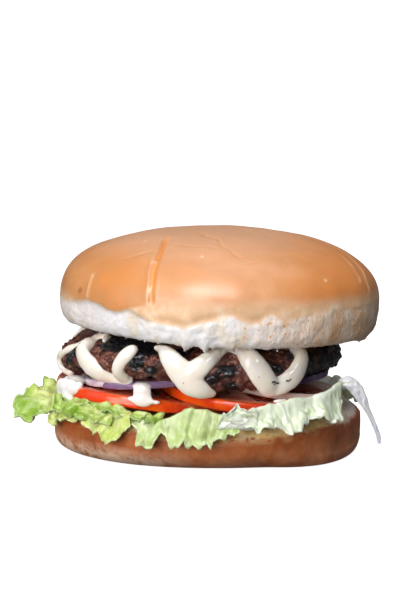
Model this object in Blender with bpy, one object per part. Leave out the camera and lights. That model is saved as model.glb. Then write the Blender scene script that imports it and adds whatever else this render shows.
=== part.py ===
"""A hamburger: a plain soft bun cut in two, round a char-grilled beef patty striped with a cream sauce,
red onion, two tomato slices and frilly lettuce. It stands on the flat base of the lower bun, with its
front towards -Y.
"""

import math
import random

import bmesh
import bpy
from mathutils import Vector, noise

MM = 0.001

# Driving sizes in millimetres, and angles in degrees, counted round the burger from +X. The front is 270.
HEEL_RADIUS = 56.2
HEEL_HEIGHT = 13.4
CROWN_RADIUS = 58.2
CROWN_CENTRE_X = 4.5
CROWN_CUT_HEIGHT = 45.0
CROWN_WIDEST_HEIGHT = 54.8
CROWN_DOME_HEIGHT = 25.0
CROWN_CUT_TILT = -0.048
PATTY_RADIUS = 51.5
PATTY_CENTRE_X = -2.5
PATTY_TOP_HEIGHT = 44.2
PATTY_RIM_LOW = 27.4
PATTY_INNER_LOW = 32.3
SAUCE_THICKNESS = 1.5
TOMATO_THICKNESS = 4.1
ONION_THICKNESS = 2.6
LEAF_THICKNESS = 0.8
LEAF_BED_HEIGHT = 14.9
LEAF_ROOT_RADIUS = 36.0

CROWN_SEGMENTS = 52
HEEL_SEGMENTS = 44
PATTY_SEGMENTS = 54
TOMATO_SEGMENTS = 34
ONION_SEGMENTS = 24
SAUCE_SIDES = 6
SAUCE_STEPS = 2
LEAF_ROWS = 6
LEAF_COLUMN_DEGREES = 1.8
BACK_COLUMN_DEGREES = 2.3

# How far the heel's flat base reaches at an angle: straighter at the front, where the foot is rounder.
HEEL_BASE_OUTLINE = [
    (0, 53.0), (35, 48.0), (60, 43.0), (90, 40.0), (120, 42.0), (150, 46.0), (180, 49.5), (205, 46.0),
    (228, 41.5), (250, 37.5), (270, 36.5), (292, 40.5), (314, 51.0), (330, 54.0), (360, 53.0),
]

# Cream sauce on the patty's front: each strand is (angle, height, half width) from one end to the other.
SAUCE_STRANDS = {
    "left_fall": [(215, 41.8, 2.0), (219, 40.0, 2.9), (223, 36.6, 2.9), (229, 33.8, 2.5), (236, 32.0, 1.6)],
    "left_rise": [(237, 32.0, 1.9), (236, 36.0, 2.1), (238, 40.0, 2.1), (243, 42.8, 1.6)],
    "middle_fall": [(252, 42.9, 1.9), (257, 40.0, 3.4), (262, 34.8, 3.9), (267, 30.0, 3.4), (273, 28.6, 1.6)],
    "middle_rise": [(263, 34.0, 3.2), (269, 38.6, 3.0), (275, 41.4, 2.0), (281, 42.0, 1.4)],
    "right_fall": [(285, 41.2, 2.0), (288, 39.0, 3.4), (291, 34.3, 3.6), (297, 29.8, 3.2)],
    "right_rise": [(297, 30.0, 3.2), (305, 33.2, 3.0), (310, 37.4, 2.6), (315, 40.4, 1.6)],
    "left_coat": [(206, 40.4, 1.4), (197, 37.2, 1.9), (190, 33.6, 1.8), (195, 31.4, 1.6)],
}
BACK_ZIGZAG = {"first": 334.0, "last": 536.0, "step": 11.0, "below_top": 4.2, "low": 31.0, "half_width": 2.3}

# Where a leaf turns up over the heel's rim (reach, height). Those at the right stay outside the tomato.
LEAF_KNEE = (49.5, 16.6)
OUTER_KNEE = (54.0, 15.9)
OUTER_KNEE_LEAVES = ("lettuce_front_right", "lettuce_right_rib")

# Each leaf, from side to side: (angle, crest reach, crest height, edge reach, edge height).
LEAF_STATIONS = {
    "lettuce_far_left": [
        (172, 60, 21.8, 63.0, 23.6), (180, 60, 20.6, 69.0, 20.4),
        (188, 60, 19.6, 70.5, 17.4), (195, 59, 18.4, 66.0, 14.6),
    ],
    "lettuce_front_left": [
        (198, 58, 18.0, 60.5, 12.0), (207, 57, 18.8, 60.0, 15.5), (217, 57, 19.2, 60.5, 17.0),
        (226, 57, 18.6, 60.5, 13.6), (234, 58, 18.0, 61.0, 9.8), (241, 57, 17.8, 60.5, 14.0),
    ],
    "lettuce_front": [
        (243.5, 57, 17.6, 60.5, 13.0), (250, 58, 18.0, 60.5, 12.0), (258, 58, 18.4, 61.0, 12.0),
        (266, 58, 18.8, 61.0, 11.6), (274, 58, 18.8, 60.5, 13.0), (281, 57, 18.6, 60.0, 16.8),
    ],
    "lettuce_front_right": [
        (283.5, 57, 18.6, 60.5, 17.0), (290, 58.0, 21.4, 61.5, 15.8), (299, 58.5, 22.4, 61.5, 14.8),
        (308, 58.5, 23.6, 62.0, 17.0), (317, 58.5, 25.4, 62.0, 17.2), (325, 58.0, 28.2, 60.5, 22.0),
    ],
    "lettuce_right_rib": [
        (337, 58, 24.4, 64.0, 5.0), (342, 58.5, 24.0, 66.0, 4.0), (347, 58, 22.8, 65.0, 5.2),
    ],
}
BACK_LEAVES = {
    "lettuce_back_right": (18.0, 58.0),
    "lettuce_back": (61.0, 108.0),
    "lettuce_back_left": (111.0, 168.0),
}


def clear_scene():
    for obj in list(bpy.data.objects):
        bpy.data.objects.remove(obj)


def finish_of(name, colour, roughness):
    """A plain Principled finish, colour in linear values."""
    material = bpy.data.materials.new(name)
    material.use_nodes = True
    shader = material.node_tree.nodes["Principled BSDF"]
    shader.inputs["Base Color"].default_value = (*colour, 1.0)
    shader.inputs["Roughness"].default_value = roughness
    return material


def object_from(name, mesh_maker, material):
    """Puts a bmesh in the scene as one named object."""
    mesh = bpy.data.meshes.new(name)
    mesh_maker.to_mesh(mesh)
    mesh_maker.free()
    mesh.shade_smooth()
    mesh.materials.append(material)
    obj = bpy.data.objects.new(name, mesh)
    bpy.context.scene.collection.objects.link(obj)
    return obj


def polar(reach, angle, height, centre=(0.0, 0.0)):
    """A point in metres from a reach and height in millimetres and an angle in degrees."""
    turn = math.radians(angle)
    return Vector((centre[0] + reach * math.cos(turn), centre[1] + reach * math.sin(turn), height)) * MM


def smooth_step(value, low, high):
    share = min(1.0, max(0.0, (value - low) / (high - low)))
    return share * share * (3.0 - 2.0 * share)


def plateau(angle, start, full, fade, end):
    """1 between full and fade, easing to 0 at start and end."""
    return smooth_step(angle % 360.0, start, full) * (1.0 - smooth_step(angle % 360.0, fade, end))


def wobble(point, wavelength, seed):
    """Smooth unevenness from -1 to 1 at a point in metres, with bumps about one wavelength (mm) apart."""
    return noise.noise(point / (wavelength * MM) + Vector((seed, 2.0 * seed, 3.0 * seed)))


def through(stations, position):
    """The values at a position along stations (position, value, value, ...), on a curve through them all."""
    last = len(stations) - 1
    i = 0
    while i < last - 1 and position > stations[i + 1][0]:
        i += 1
    before, start = stations[max(i - 1, 0)], stations[i]
    end, after = stations[i + 1], stations[min(i + 2, last)]
    t = min(1.0, max(0.0, (position - start[0]) / (end[0] - start[0])))
    values = []
    for p, a, b, n in zip(before[1:], start[1:], end[1:], after[1:]):
        bend = 2.0 * p - 5.0 * a + 4.0 * b - n
        turn = 3.0 * a - p - 3.0 * b + n
        values.append(0.5 * (2.0 * a + (b - p) * t + bend * t * t + turn * t ** 3))
    return values


def solid_of_rings(name, rings, foot, crown, material):
    """A closed solid through rings of points, from a foot point up to a crown point."""
    maker = bmesh.new()
    rows = [[maker.verts.new(point) for point in ring] for ring in rings]
    bottom, top = maker.verts.new(foot), maker.verts.new(crown)
    count = len(rows[0])
    for k in range(count):
        following = (k + 1) % count
        maker.faces.new((rows[0][following], rows[0][k], bottom))
        maker.faces.new((rows[-1][k], rows[-1][following], top))
        for lower, upper in zip(rows, rows[1:]):
            maker.faces.new((lower[k], lower[following], upper[following], upper[k]))
    return object_from(name, maker, material)


def angles_round(segments):
    return [360.0 * k / segments for k in range(segments)]


def heel_rim_height(angle):
    """The crust's cut edge stands a little higher at the front left and the right."""
    left_rise = 2.0 * plateau(angle, 188, 208, 243, 270)
    right_rise = 0.8 * plateau(angle, 300, 316, 322, 334)
    return HEEL_HEIGHT + left_rise + right_rise


def make_heel(material):
    """Lower bun: flat base, rounded foot, upright crust and a flat cut face."""
    rim_inset = 1.3
    rim_rounding = 0.7
    base_middle = 25.0
    rise_fade = 9.0
    angles = angles_round(HEEL_SEGMENTS)

    def point(angle, turn):
        """On the foot's rounding, which turns from 0 at the flat base to 90 at the side."""
        base = through(HEEL_BASE_OUTLINE, angle)[0]
        side = HEEL_RADIUS - 1.2 * abs(math.sin(math.radians(angle)))
        rounding = min(9.0, 3.0 + 0.5 * (side - base))
        share = math.sin(math.radians(turn)) ** 0.9
        spot = polar(base + (side - base) * share, angle, rounding * (1.0 - math.cos(math.radians(turn))))
        uneven = 0.7 * share * wobble(spot, 26.0, 4.0)
        return spot + polar(uneven, angle, 0.0)

    rings = [[polar(base_middle, a, 0.0) for a in angles]]
    rings += [[point(a, turn) for a in angles] for turn in (0, 30, 55, 75, 90)]
    rim = [point(a, 90) for a in angles]
    for spot, a in zip(rim, angles):
        spot.z = (heel_rim_height(a) - rim_rounding) * MM
    rings.append(rim)
    for inset, dip in ((rim_inset, 0.0), (7.0, 0.25), (22.0, 0.45)):
        ring = []
        for a in angles:
            lift = (heel_rim_height(a) - HEEL_HEIGHT) * math.exp(-inset / rise_fade)
            ring.append(polar(HEEL_RADIUS - 1.2 - inset, a, HEEL_HEIGHT + lift - dip))
        rings.append(ring)
    middle = polar(0.0, 0.0, HEEL_HEIGHT - 0.4)
    return solid_of_rings("bun_heel", rings, Vector((0, 0, 0)), middle, material)


def make_crown(material):
    """Upper bun: a domed crust over a pale upright side with a slightly ragged lower edge."""
    corner = 5.5
    unevenness = 0.8
    raggedness = 0.55
    centre = (CROWN_CENTRE_X, 0.0)
    side_height = CROWN_WIDEST_HEIGHT - CROWN_CUT_HEIGHT

    def ring(reach, height, rough, ragged=0.0):
        """The cut face leans down to the right, and the dome stands straight."""
        tilt = CROWN_CUT_TILT * max(0.0, (CROWN_WIDEST_HEIGHT - height) / side_height)
        points = []
        for a in angles_round(CROWN_SEGMENTS):
            spot = polar(reach, a, height, centre)
            spot += polar(rough * wobble(spot, 21.0, 7.0), a, 0.0)
            spot.z += ragged * wobble(spot, 9.0, 11.0) * MM + tilt * (spot.x - CROWN_CENTRE_X * MM)
            points.append(spot)
        return points

    rings = [ring(CROWN_RADIUS * share, CROWN_CUT_HEIGHT, 0.0) for share in (0.45, 0.8)]
    for turn in (90, 62, 38, 18, 0):
        inward = corner * (1.0 - math.cos(math.radians(turn)) ** 0.62)
        drop = side_height * math.sin(math.radians(turn)) ** 0.75
        ragged = raggedness * math.sin(math.radians(turn))
        rings.append(ring(CROWN_RADIUS - inward, CROWN_WIDEST_HEIGHT - drop, unevenness, ragged))
    for share in (0.985, 0.95, 0.88, 0.77, 0.62, 0.44, 0.22):
        dome = ring(CROWN_RADIUS * share, CROWN_WIDEST_HEIGHT, unevenness * share)
        for spot, a in zip(dome, angles_round(CROWN_SEGMENTS)):
            # The dome is a little fuller at its left shoulder.
            power = 2.5 - 0.2 * math.cos(math.radians(a))
            spot.z += CROWN_DOME_HEIGHT * (1.0 - share ** power) ** (1.0 / power) * MM
        rings.append(dome)
    foot = polar(0.0, 0.0, CROWN_CUT_HEIGHT, centre)
    top = polar(0.0, 0.0, CROWN_WIDEST_HEIGHT + CROWN_DOME_HEIGHT, centre)
    return solid_of_rings("bun_crown", rings, foot, top, material)


def patty_rim_low(angle):
    """The patty's lower edge is lifted at the front left and the right, where the onion shows under it."""
    left_lift = 4.9 * plateau(angle, 186, 226, 250, 264)
    right_lift = 2.7 * plateau(angle, 306, 320, 350, 359)
    return PATTY_RIM_LOW + left_lift + right_lift


def patty_top(x):
    """The top leans with the bun's cut face, and sinks at its left end."""
    sunk = 6.0 * smooth_step(-x, 34.0, 54.0)
    return PATTY_TOP_HEIGHT + CROWN_CUT_TILT * (x - CROWN_CENTRE_X) - sunk


def patty_reach(angle, height):
    """How far the patty's side stands out at an angle and a height, in millimetres."""
    low = patty_rim_low(angle)
    x = PATTY_CENTRE_X + PATTY_RADIUS * math.cos(math.radians(angle))
    share = min(1.0, max(0.0, (height - low) / (patty_top(x) - low)))
    lumps = 1.1 * wobble(polar(PATTY_RADIUS, angle, height), 9.0, 3.0)
    return PATTY_RADIUS * (1.0 - 0.15 * abs(2.0 * share - 0.9) ** 3.0) + lumps


def make_patty_body(material):
    """Coarse minced beef, lumpy at the side, with a hollowed underside over the onion."""
    centre = (PATTY_CENTRE_X, 0.0)
    hollow_share = 0.9
    rim_rounding = 0.5

    def face_ring(share, height_at):
        points = []
        for a in angles_round(PATTY_SEGMENTS):
            spot = polar(PATTY_RADIUS * share, a, 0.0, centre)
            spot.z = height_at(spot.x / MM) * MM
            points.append(spot)
        return points

    def inner_low(x):
        return PATTY_INNER_LOW

    def side_ring(share):
        points = []
        for a in angles_round(PATTY_SEGMENTS):
            low = patty_rim_low(a)
            x = PATTY_CENTRE_X + PATTY_RADIUS * math.cos(math.radians(a))
            height = low + (patty_top(x) - low) * share
            points.append(polar(patty_reach(a, height), a, height, centre))
        return points

    def shoulder(x):
        return patty_top(x) - 0.25

    def middle(x):
        return patty_top(x) - 0.1

    rings = [face_ring(0.45, inner_low), face_ring(0.82, inner_low)]
    hollow_reach = PATTY_RADIUS * hollow_share
    rim = [(a, patty_rim_low(a) + rim_rounding) for a in angles_round(PATTY_SEGMENTS)]
    rings.append([polar(hollow_reach, a, height, centre) for a, height in rim])
    rings += [side_ring(share) for share in (0.10, 0.30, 0.5, 0.7, 0.88)]
    rings += [face_ring(0.80, shoulder), face_ring(0.45, middle)]
    foot = Vector((PATTY_CENTRE_X, 0, PATTY_INNER_LOW)) * MM
    top = Vector((PATTY_CENTRE_X, 0, patty_top(PATTY_CENTRE_X))) * MM
    return solid_of_rings("patty", rings, foot, top, material)


def make_strand(name, stations, material):
    """A thick flattened run of sauce on the patty's side, through stations of angle, height and half width."""
    centre = (PATTY_CENTRE_X, 0.0)
    steps = SAUCE_STEPS * (len(stations) - 1)
    numbered = [(float(i), *station) for i, station in enumerate(stations)]
    spots, widths, outwards = [], [], []
    for k in range(steps + 1):
        angle, height, half_width = through(numbered, k / SAUCE_STEPS)
        reach = patty_reach(angle, height)
        spots.append(polar(reach, angle, height, centre))
        widths.append(half_width)
        outwards.append(polar(1.0, angle, 0.0).normalized())
    rings = []
    for k, (spot, half_width, outward) in enumerate(zip(spots, widths, outwards)):
        along = (spots[min(k + 1, steps)] - spots[max(k - 1, 0)]).normalized()
        across = along.cross(outward).normalized()
        ring = []
        for side in range(SAUCE_SIDES):
            turn = 2.0 * math.pi * side / SAUCE_SIDES
            wide = half_width * math.cos(turn) * MM
            thick = SAUCE_THICKNESS * math.sin(turn) * MM
            ring.append(spot + across * wide + outward * thick)
        rings.append(ring)
    strand = solid_of_rings(name, rings, spots[0], spots[-1], material)
    recalculate(strand)
    return strand


def recalculate(obj):
    """Turns every face outwards."""
    maker = bmesh.new()
    maker.from_mesh(obj.data)
    bmesh.ops.recalc_face_normals(maker, faces=maker.faces)
    maker.to_mesh(obj.data)
    maker.free()


def back_strand_stations():
    """The sauce goes on round the back in the same zigzag."""
    draw = random.Random(5)
    stations = []
    angle = BACK_ZIGZAG["first"]
    high = True
    while angle < BACK_ZIGZAG["last"]:
        x = PATTY_CENTRE_X + PATTY_RADIUS * math.cos(math.radians(angle))
        height = patty_top(x) - BACK_ZIGZAG["below_top"]
        if not high:
            height = BACK_ZIGZAG["low"] + draw.uniform(0.0, 3.0)
        stations.append((angle, height, BACK_ZIGZAG["half_width"] + draw.uniform(-0.4, 0.5)))
        angle += BACK_ZIGZAG["step"] + draw.uniform(-1.5, 1.5)
        high = not high
    return stations


def fuse(base, others):
    """One Boolean union joins others to base, and then removes them."""
    together = bpy.data.collections.new(base.name + "_toppings")
    bpy.context.scene.collection.children.link(together)
    for obj in others:
        bpy.context.scene.collection.objects.unlink(obj)
        together.objects.link(obj)
    union = base.modifiers.new("union", "BOOLEAN")
    union.operation = "UNION"
    union.operand_type = "COLLECTION"
    union.collection = together
    union.solver = "MANIFOLD"
    bpy.context.view_layer.objects.active = base
    bpy.ops.object.modifier_apply(modifier=union.name)
    for obj in others:
        bpy.data.objects.remove(obj)
    bpy.data.collections.remove(together)
    keep_outer_shell(base)


def keep_outer_shell(obj):
    """Merges the slivers that the union left, fills the hollows that it sealed and drops loose scraps."""
    sliver = 0.06 * MM
    maker = bmesh.new()
    maker.from_mesh(obj.data)
    bmesh.ops.triangulate(maker, faces=maker.faces)
    bmesh.ops.dissolve_degenerate(maker, edges=maker.edges, dist=sliver)
    bmesh.ops.triangulate(maker, faces=maker.faces)
    waiting = set(maker.verts)
    shells = []
    while waiting:
        shell = [waiting.pop()]
        for vertex in shell:
            for edge in vertex.link_edges:
                other = edge.other_vert(vertex)
                if other in waiting:
                    waiting.remove(other)
                    shell.append(other)
        shells.append(shell)
    shells.sort(key=len)
    for shell in shells[:-1]:
        bmesh.ops.delete(maker, geom=shell, context="VERTS")
    maker.to_mesh(obj.data)
    maker.free()


def make_patty(beef, sauce):
    patty = make_patty_body(beef)
    strands = [make_strand(name, stations, sauce) for name, stations in SAUCE_STRANDS.items()]
    strands.append(make_strand("back_zigzag", back_strand_stations(), sauce))
    fuse(patty, strands)
    return patty


def make_slice(name, centre, radius, thickness, low_at, segments, faces, material):
    """A round slice, whose underside is at the height low_at(x).

    faces lists (share of the radius, sink of both faces) from the middle outwards.
    """
    rounding = 0.45

    def ring(share, side_shift):
        points = []
        for a in angles_round(segments):
            uneven = 1.0 + 0.025 * math.sin(math.radians(3.0 * a + 40.0 * share))
            spot = polar(radius * share * uneven, a, 0.0, centre)
            spot.z = (low_at(spot.x / MM) + side_shift) * MM
            points.append(spot)
        return points

    rings = [ring(share, sink) for share, sink in faces]
    edge = 1.0 - rounding / radius
    rings += [ring(edge, 0.0), ring(1.0, rounding), ring(1.0, thickness - rounding), ring(edge, thickness)]
    rings += [ring(share, thickness - sink) for share, sink in reversed(faces)]
    middle = Vector((centre[0], centre[1], low_at(centre[0]))) * MM
    return solid_of_rings(name, rings, middle, middle + Vector((0, 0, thickness * MM)), material)


def left_tomato_low(x):
    sag = 0.002 * max(0.0, x + 25.0) ** 2
    return 27.4 - TOMATO_THICKNESS - 0.08 * (x + 54.0) - sag


def right_tomato_low(x):
    return 22.4 - 0.105 * (x - 5.0)


def left_onion_low(x):
    return 26.97 + 0.064 * (x + 47.0)


def right_onion_low(x):
    return 26.7


def make_drop(name, place, radii, material):
    """A thick drop of sauce, later fused to the slice that it hangs on."""
    maker = bmesh.new()
    bmesh.ops.create_uvsphere(maker, u_segments=12, v_segments=8, radius=MM)
    for vertex in maker.verts:
        lower = max(0.0, -vertex.co.z / MM)
        swell = 0.85 + 0.25 * lower
        vertex.co = vertex.co * Vector((radii[0] * swell, radii[1] * swell, radii[2]))
        vertex.co += Vector(place) * MM
    return object_from(name, maker, material)


def make_tomatoes(flesh, sauce):
    faces = ((0.6, 0.15), (0.85, 0.1))
    left = make_slice(
        "tomato_left", (-22.5, -9.0), 33.0, TOMATO_THICKNESS, left_tomato_low, TOMATO_SEGMENTS, faces, flesh
    )
    drops = [
        make_drop("edge_drop", (-48.8, -26.6, 25.6), (5.2, 4.6, 4.5), sauce),
        make_drop("front_drop", (-22.4, -41.0, 25.2), (5.3, 2.8, 4.9), sauce),
    ]
    fuse(left, drops)
    right = make_slice(
        "tomato_right", (14.0, -18.8), 30.2, TOMATO_THICKNESS, right_tomato_low, TOMATO_SEGMENTS, faces, flesh
    )
    return left, right


def make_onions(material):
    """Slices of red onion, with the grooves between their rings."""
    faces = ((0.30, 0.0), (0.36, 0.45), (0.42, 0.0), (0.66, 0.0), (0.72, 0.45), (0.78, 0.0))
    shapes = (
        ("onion_left", (-29.0, -19.0), 16.5, left_onion_low),
        ("onion_right", (26.5, -12.5), 17.2, right_onion_low),
    )
    return [
        make_slice(name, centre, radius, ONION_THICKNESS, low_at, ONION_SEGMENTS, faces, material)
        for name, centre, radius, low_at in shapes
    ]


def leaf_section(knee, crest_reach, crest_height, edge_reach, edge_height, share):
    """(reach, height) across a leaf, from its root under the tomato (0) to its frilled edge (1)."""
    stations = [
        (0.0, LEAF_ROOT_RADIUS, LEAF_BED_HEIGHT),
        (0.36, *knee),
        (0.7, crest_reach, crest_height),
        (1.0, edge_reach, edge_height),
    ]
    return through(stations, share)


def make_leaf(name, stations, material, narrow=0.0, column_degrees=LEAF_COLUMN_DEGREES):
    """A thin wavy leaf: a bent sheet, frilled towards its edge. narrow tapers it to a tongue."""
    first, last = stations[0][0], stations[-1][0]
    columns = max(4, round((last - first) / column_degrees))
    middle = 0.5 * (first + last)
    knee = OUTER_KNEE if name in OUTER_KNEE_LEAVES else LEAF_KNEE
    wave_degrees = 9.5
    wave_size = 1.3 * (1.0 - narrow)
    maker = bmesh.new()
    grid = []
    for i in range(columns + 1):
        angle = first + (last - first) * i / columns
        values = through(stations, angle)
        row = []
        for j in range(LEAF_ROWS + 1):
            share = j / LEAF_ROWS
            reach, height = leaf_section(knee, *values, share)
            frill = smooth_step(share, 0.45, 1.0)
            drift = 70.0 * math.sin(math.radians(5.0 * angle))
            phase = math.radians(360.0 * angle / wave_degrees + drift)
            reach += wave_size * frill * math.sin(phase)
            height += wave_size * frill * math.cos(phase)
            spread = 1.0 - narrow * smooth_step(share, 0.35, 0.9)
            row.append(maker.verts.new(polar(reach, middle + (angle - middle) * spread, height)))
        grid.append(row)
    for near, far in zip(grid, grid[1:]):
        for j in range(LEAF_ROWS):
            maker.faces.new((near[j], near[j + 1], far[j + 1], far[j]))
    bmesh.ops.triangulate(maker, faces=maker.faces)
    leaf = object_from(name, maker, material)
    wall = leaf.modifiers.new("thickness", "SOLIDIFY")
    wall.thickness = LEAF_THICKNESS * MM
    wall.offset = 0.0
    return leaf


def back_stations(first, last, draw):
    """Stations for a leaf that the photograph doesn't show, evenly frilled like those at the front."""
    count = 5
    stations = []
    for k in range(count):
        angle = first + (last - first) * k / (count - 1)
        edge_height = draw.uniform(11.0, 17.5)
        stations.append((angle, 57.5, draw.uniform(17.8, 19.6), draw.uniform(60.0, 62.5), edge_height))
    return stations


def make_leaves(material):
    draw = random.Random(12)
    leaves = []
    for name, stations in LEAF_STATIONS.items():
        leaves.append(make_leaf(name, stations, material, narrow=0.7 if name.endswith("rib") else 0.0))
    for name, (first, last) in BACK_LEAVES.items():
        leaves.append(
            make_leaf(name, back_stations(first, last, draw), material, column_degrees=BACK_COLUMN_DEGREES)
        )
    return leaves


def main():
    clear_scene()
    crust = finish_of("golden_crust", (0.78, 0.38, 0.14), 0.4)
    brown_crust = finish_of("brown_crust", (0.48, 0.18, 0.06), 0.5)
    beef = finish_of("grilled_beef", (0.06, 0.03, 0.02), 0.5)
    sauce = finish_of("cream_sauce", (0.93, 0.82, 0.66), 0.2)
    flesh = finish_of("tomato_red", (0.75, 0.06, 0.02), 0.25)
    onion = finish_of("red_onion", (0.55, 0.36, 0.52), 0.25)
    leaf = finish_of("lettuce_green", (0.50, 0.66, 0.24), 0.4)
    make_heel(brown_crust)
    make_leaves(leaf)
    make_tomatoes(flesh, sauce)
    make_onions(onion)
    make_patty(beef, sauce)
    make_crown(crust)


main()
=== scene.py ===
"""Dresses a hamburger: a soft egg-washed bun, a char-grilled patty under thick cream sauce, tomato,
red onion and frilly lettuce. Each layer has its own operator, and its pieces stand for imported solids.
"""

import math
import random

import bpy
from mathutils import Matrix, Vector, noise


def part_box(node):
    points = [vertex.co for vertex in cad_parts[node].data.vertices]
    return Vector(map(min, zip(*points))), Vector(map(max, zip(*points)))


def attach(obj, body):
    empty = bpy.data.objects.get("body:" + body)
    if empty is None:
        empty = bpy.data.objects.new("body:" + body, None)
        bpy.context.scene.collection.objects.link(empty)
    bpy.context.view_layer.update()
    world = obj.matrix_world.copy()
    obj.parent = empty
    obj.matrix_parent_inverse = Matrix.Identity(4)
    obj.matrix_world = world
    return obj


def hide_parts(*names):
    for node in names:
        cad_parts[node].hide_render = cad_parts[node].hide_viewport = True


bl_info = {
    "name": "Hamburger",
    "version": (1, 0, 0),
    "blender": (4, 5, 0),
    "location": "3D View > Sidebar > Hamburger",
    "description": "Makes a hamburger layer by layer",
    "category": "Add Mesh",
}

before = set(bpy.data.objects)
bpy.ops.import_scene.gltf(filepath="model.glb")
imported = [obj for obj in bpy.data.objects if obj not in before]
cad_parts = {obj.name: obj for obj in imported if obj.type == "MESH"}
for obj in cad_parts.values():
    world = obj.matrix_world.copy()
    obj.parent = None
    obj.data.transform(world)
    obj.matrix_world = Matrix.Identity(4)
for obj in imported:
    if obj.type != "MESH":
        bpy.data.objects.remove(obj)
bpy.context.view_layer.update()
crown_low, crown_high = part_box("bun_crown")

MM = 0.001


# Numbers and curves

def hex_colour(code):
    """Turns an sRGB hex value into the linear colour that Blender's sockets take."""
    channels = [int(code[i:i + 2], 16) / 255.0 for i in (1, 3, 5)]
    linear = [c / 12.92 if c <= 0.04045 else ((c + 0.055) / 1.055) ** 2.4 for c in channels]
    return (*linear, 1.0)


def smooth_step(value, low, high):
    share = min(1.0, max(0.0, (value - low) / (high - low)))
    return share * share * (3.0 - 2.0 * share)


def plateau(angle, start, full, fade, end):
    """1 between full and fade, easing to 0 at start and end."""
    return smooth_step(angle, start, full) * (1.0 - smooth_step(angle, fade, end))


def bell(distance, width):
    return math.exp(-(distance / width) ** 2)


def ripple(a, b, c):
    """Smooth unevenness from -1 to 1 at a place given by three numbers."""
    return noise.noise(Vector((a, b, c)))


def wobble(point, wavelength, seed):
    """Smooth unevenness from -1 to 1 at a point in millimetres."""
    return noise.noise(point / wavelength + Vector((seed, 2.0 * seed, 3.0 * seed)))


def polar(reach, angle, height, centre=(0.0, 0.0)):
    turn = math.radians(angle)
    return Vector((centre[0] + reach * math.cos(turn), centre[1] + reach * math.sin(turn), height))


def angle_of(x, y):
    return math.degrees(math.atan2(y, x)) % 360.0


def through(stations, position):
    """The values at a position along stations (position, value, ...), on a curve through them all."""
    last = len(stations) - 1
    i = 0
    while i < last - 1 and position > stations[i + 1][0]:
        i += 1
    before, start = stations[max(i - 1, 0)], stations[i]
    end, after = stations[i + 1], stations[min(i + 2, last)]
    t = min(1.0, max(0.0, (position - start[0]) / (end[0] - start[0])))
    values = []
    for p, a, b, n in zip(before[1:], start[1:], end[1:], after[1:]):
        bend = 2.0 * p - 5.0 * a + 4.0 * b - n
        turn = 3.0 * a - p - 3.0 * b + n
        values.append(0.5 * (2.0 * a + (b - p) * t + bend * t * t + turn * t ** 3))
    return values


def distance_to_line(point, line):
    """How far a point is from a line through points, and its nearest spot along it, from 0 to 1."""
    best, along = 1e9, 0.0
    spans = len(line) - 1
    for i in range(spans):
        start, end = Vector(line[i]), Vector(line[i + 1])
        run = end - start
        t = min(1.0, max(0.0, (point - start).dot(run) / run.length_squared))
        distance = (point - start - run * t).length
        if distance < best:
            best, along = distance, (i + t) / spans
    return best, along


# Modelling by hand

def clear_selection():
    if bpy.context.mode != "OBJECT":
        bpy.ops.object.mode_set(mode="OBJECT")
    bpy.ops.object.select_all(action="DESELECT")


def pick(piece):
    clear_selection()
    piece.select_set(True)
    bpy.context.view_layer.objects.active = piece


def finish_shape(name):
    """Takes the shape out of edit mode, puts its place in its mesh and names it."""
    if bpy.context.mode != "OBJECT":
        bpy.ops.object.mode_set(mode="OBJECT")
    piece = bpy.context.object
    bpy.ops.object.transform_apply(location=True, rotation=True, scale=True)
    piece.name = name
    piece.data.name = name
    return piece


def turned(name, profile, segments, centre=(0.0, 0.0)):
    """Turns a profile of (reach, height) in millimetres, ring by ring, from underneath to the top."""
    clear_selection()
    reach, height = profile[0]
    bpy.ops.mesh.primitive_circle_add(
        vertices=segments, radius=reach * MM, fill_type="NGON",
        location=(centre[0] * MM, centre[1] * MM, height * MM), enter_editmode=True,
    )
    for next_reach, next_height in profile[1:]:
        rise = (next_height - height) * MM
        bpy.ops.mesh.extrude_region_move(TRANSFORM_OT_translate={"value": (0.0, 0.0, rise)})
        scale = next_reach / reach
        middle = (centre[0] * MM, centre[1] * MM, next_height * MM)
        bpy.ops.transform.resize(value=(scale, scale, 1.0), center_override=middle)
        reach, height = next_reach, next_height
    bpy.ops.mesh.select_all(action="SELECT")
    bpy.ops.mesh.normals_make_consistent(inside=False)
    return finish_shape(name)


def join_copies(name, marks, shape_copy):
    """Copies the primitive in hand once for each mark, shapes each copy's own mesh and joins them."""
    primitive = bpy.context.object
    copies = []
    for mark in marks:
        copy = bpy.data.objects.new(name, primitive.data.copy())
        shape_copy(copy.data, mark)
        bpy.context.scene.collection.objects.link(copy)
        copies.append(copy)
    bpy.data.objects.remove(primitive)
    clear_selection()
    for copy in copies:
        copy.select_set(True)
    bpy.context.view_layer.objects.active = copies[0]
    bpy.ops.object.join()
    return finish_shape(name)


def apply_modifier(piece, kind, **settings):
    pick(piece)
    modifier = piece.modifiers.new(kind.lower(), kind)
    for key, value in settings.items():
        setattr(modifier, key, value)
    bpy.ops.object.modifier_apply(modifier=modifier.name)


def subdivide(piece, levels):
    apply_modifier(piece, "SUBSURF", levels=levels, render_levels=levels)


def roughen(piece, texture_kind, size, height, middle=0.5, where=None, **settings):
    """Pushes the surface in and out by a procedural texture; size and height are in millimetres."""
    texture = bpy.data.textures.new(f"{piece.name}_{texture_kind.lower()}", texture_kind)
    texture.noise_scale = size * MM
    for key, value in settings.items():
        setattr(texture, key, value)
    limits = {"vertex_group": where} if where else {}
    apply_modifier(
        piece, "DISPLACE", texture=texture, texture_coords="GLOBAL", strength=height * MM,
        mid_level=middle, **limits,
    )


def sculpt(piece, moved):
    """Moves every vertex by a rule that takes and gives a point in millimetres."""
    for vertex in piece.data.vertices:
        vertex.co = moved(vertex.co / MM) * MM
    piece.data.update()


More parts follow.
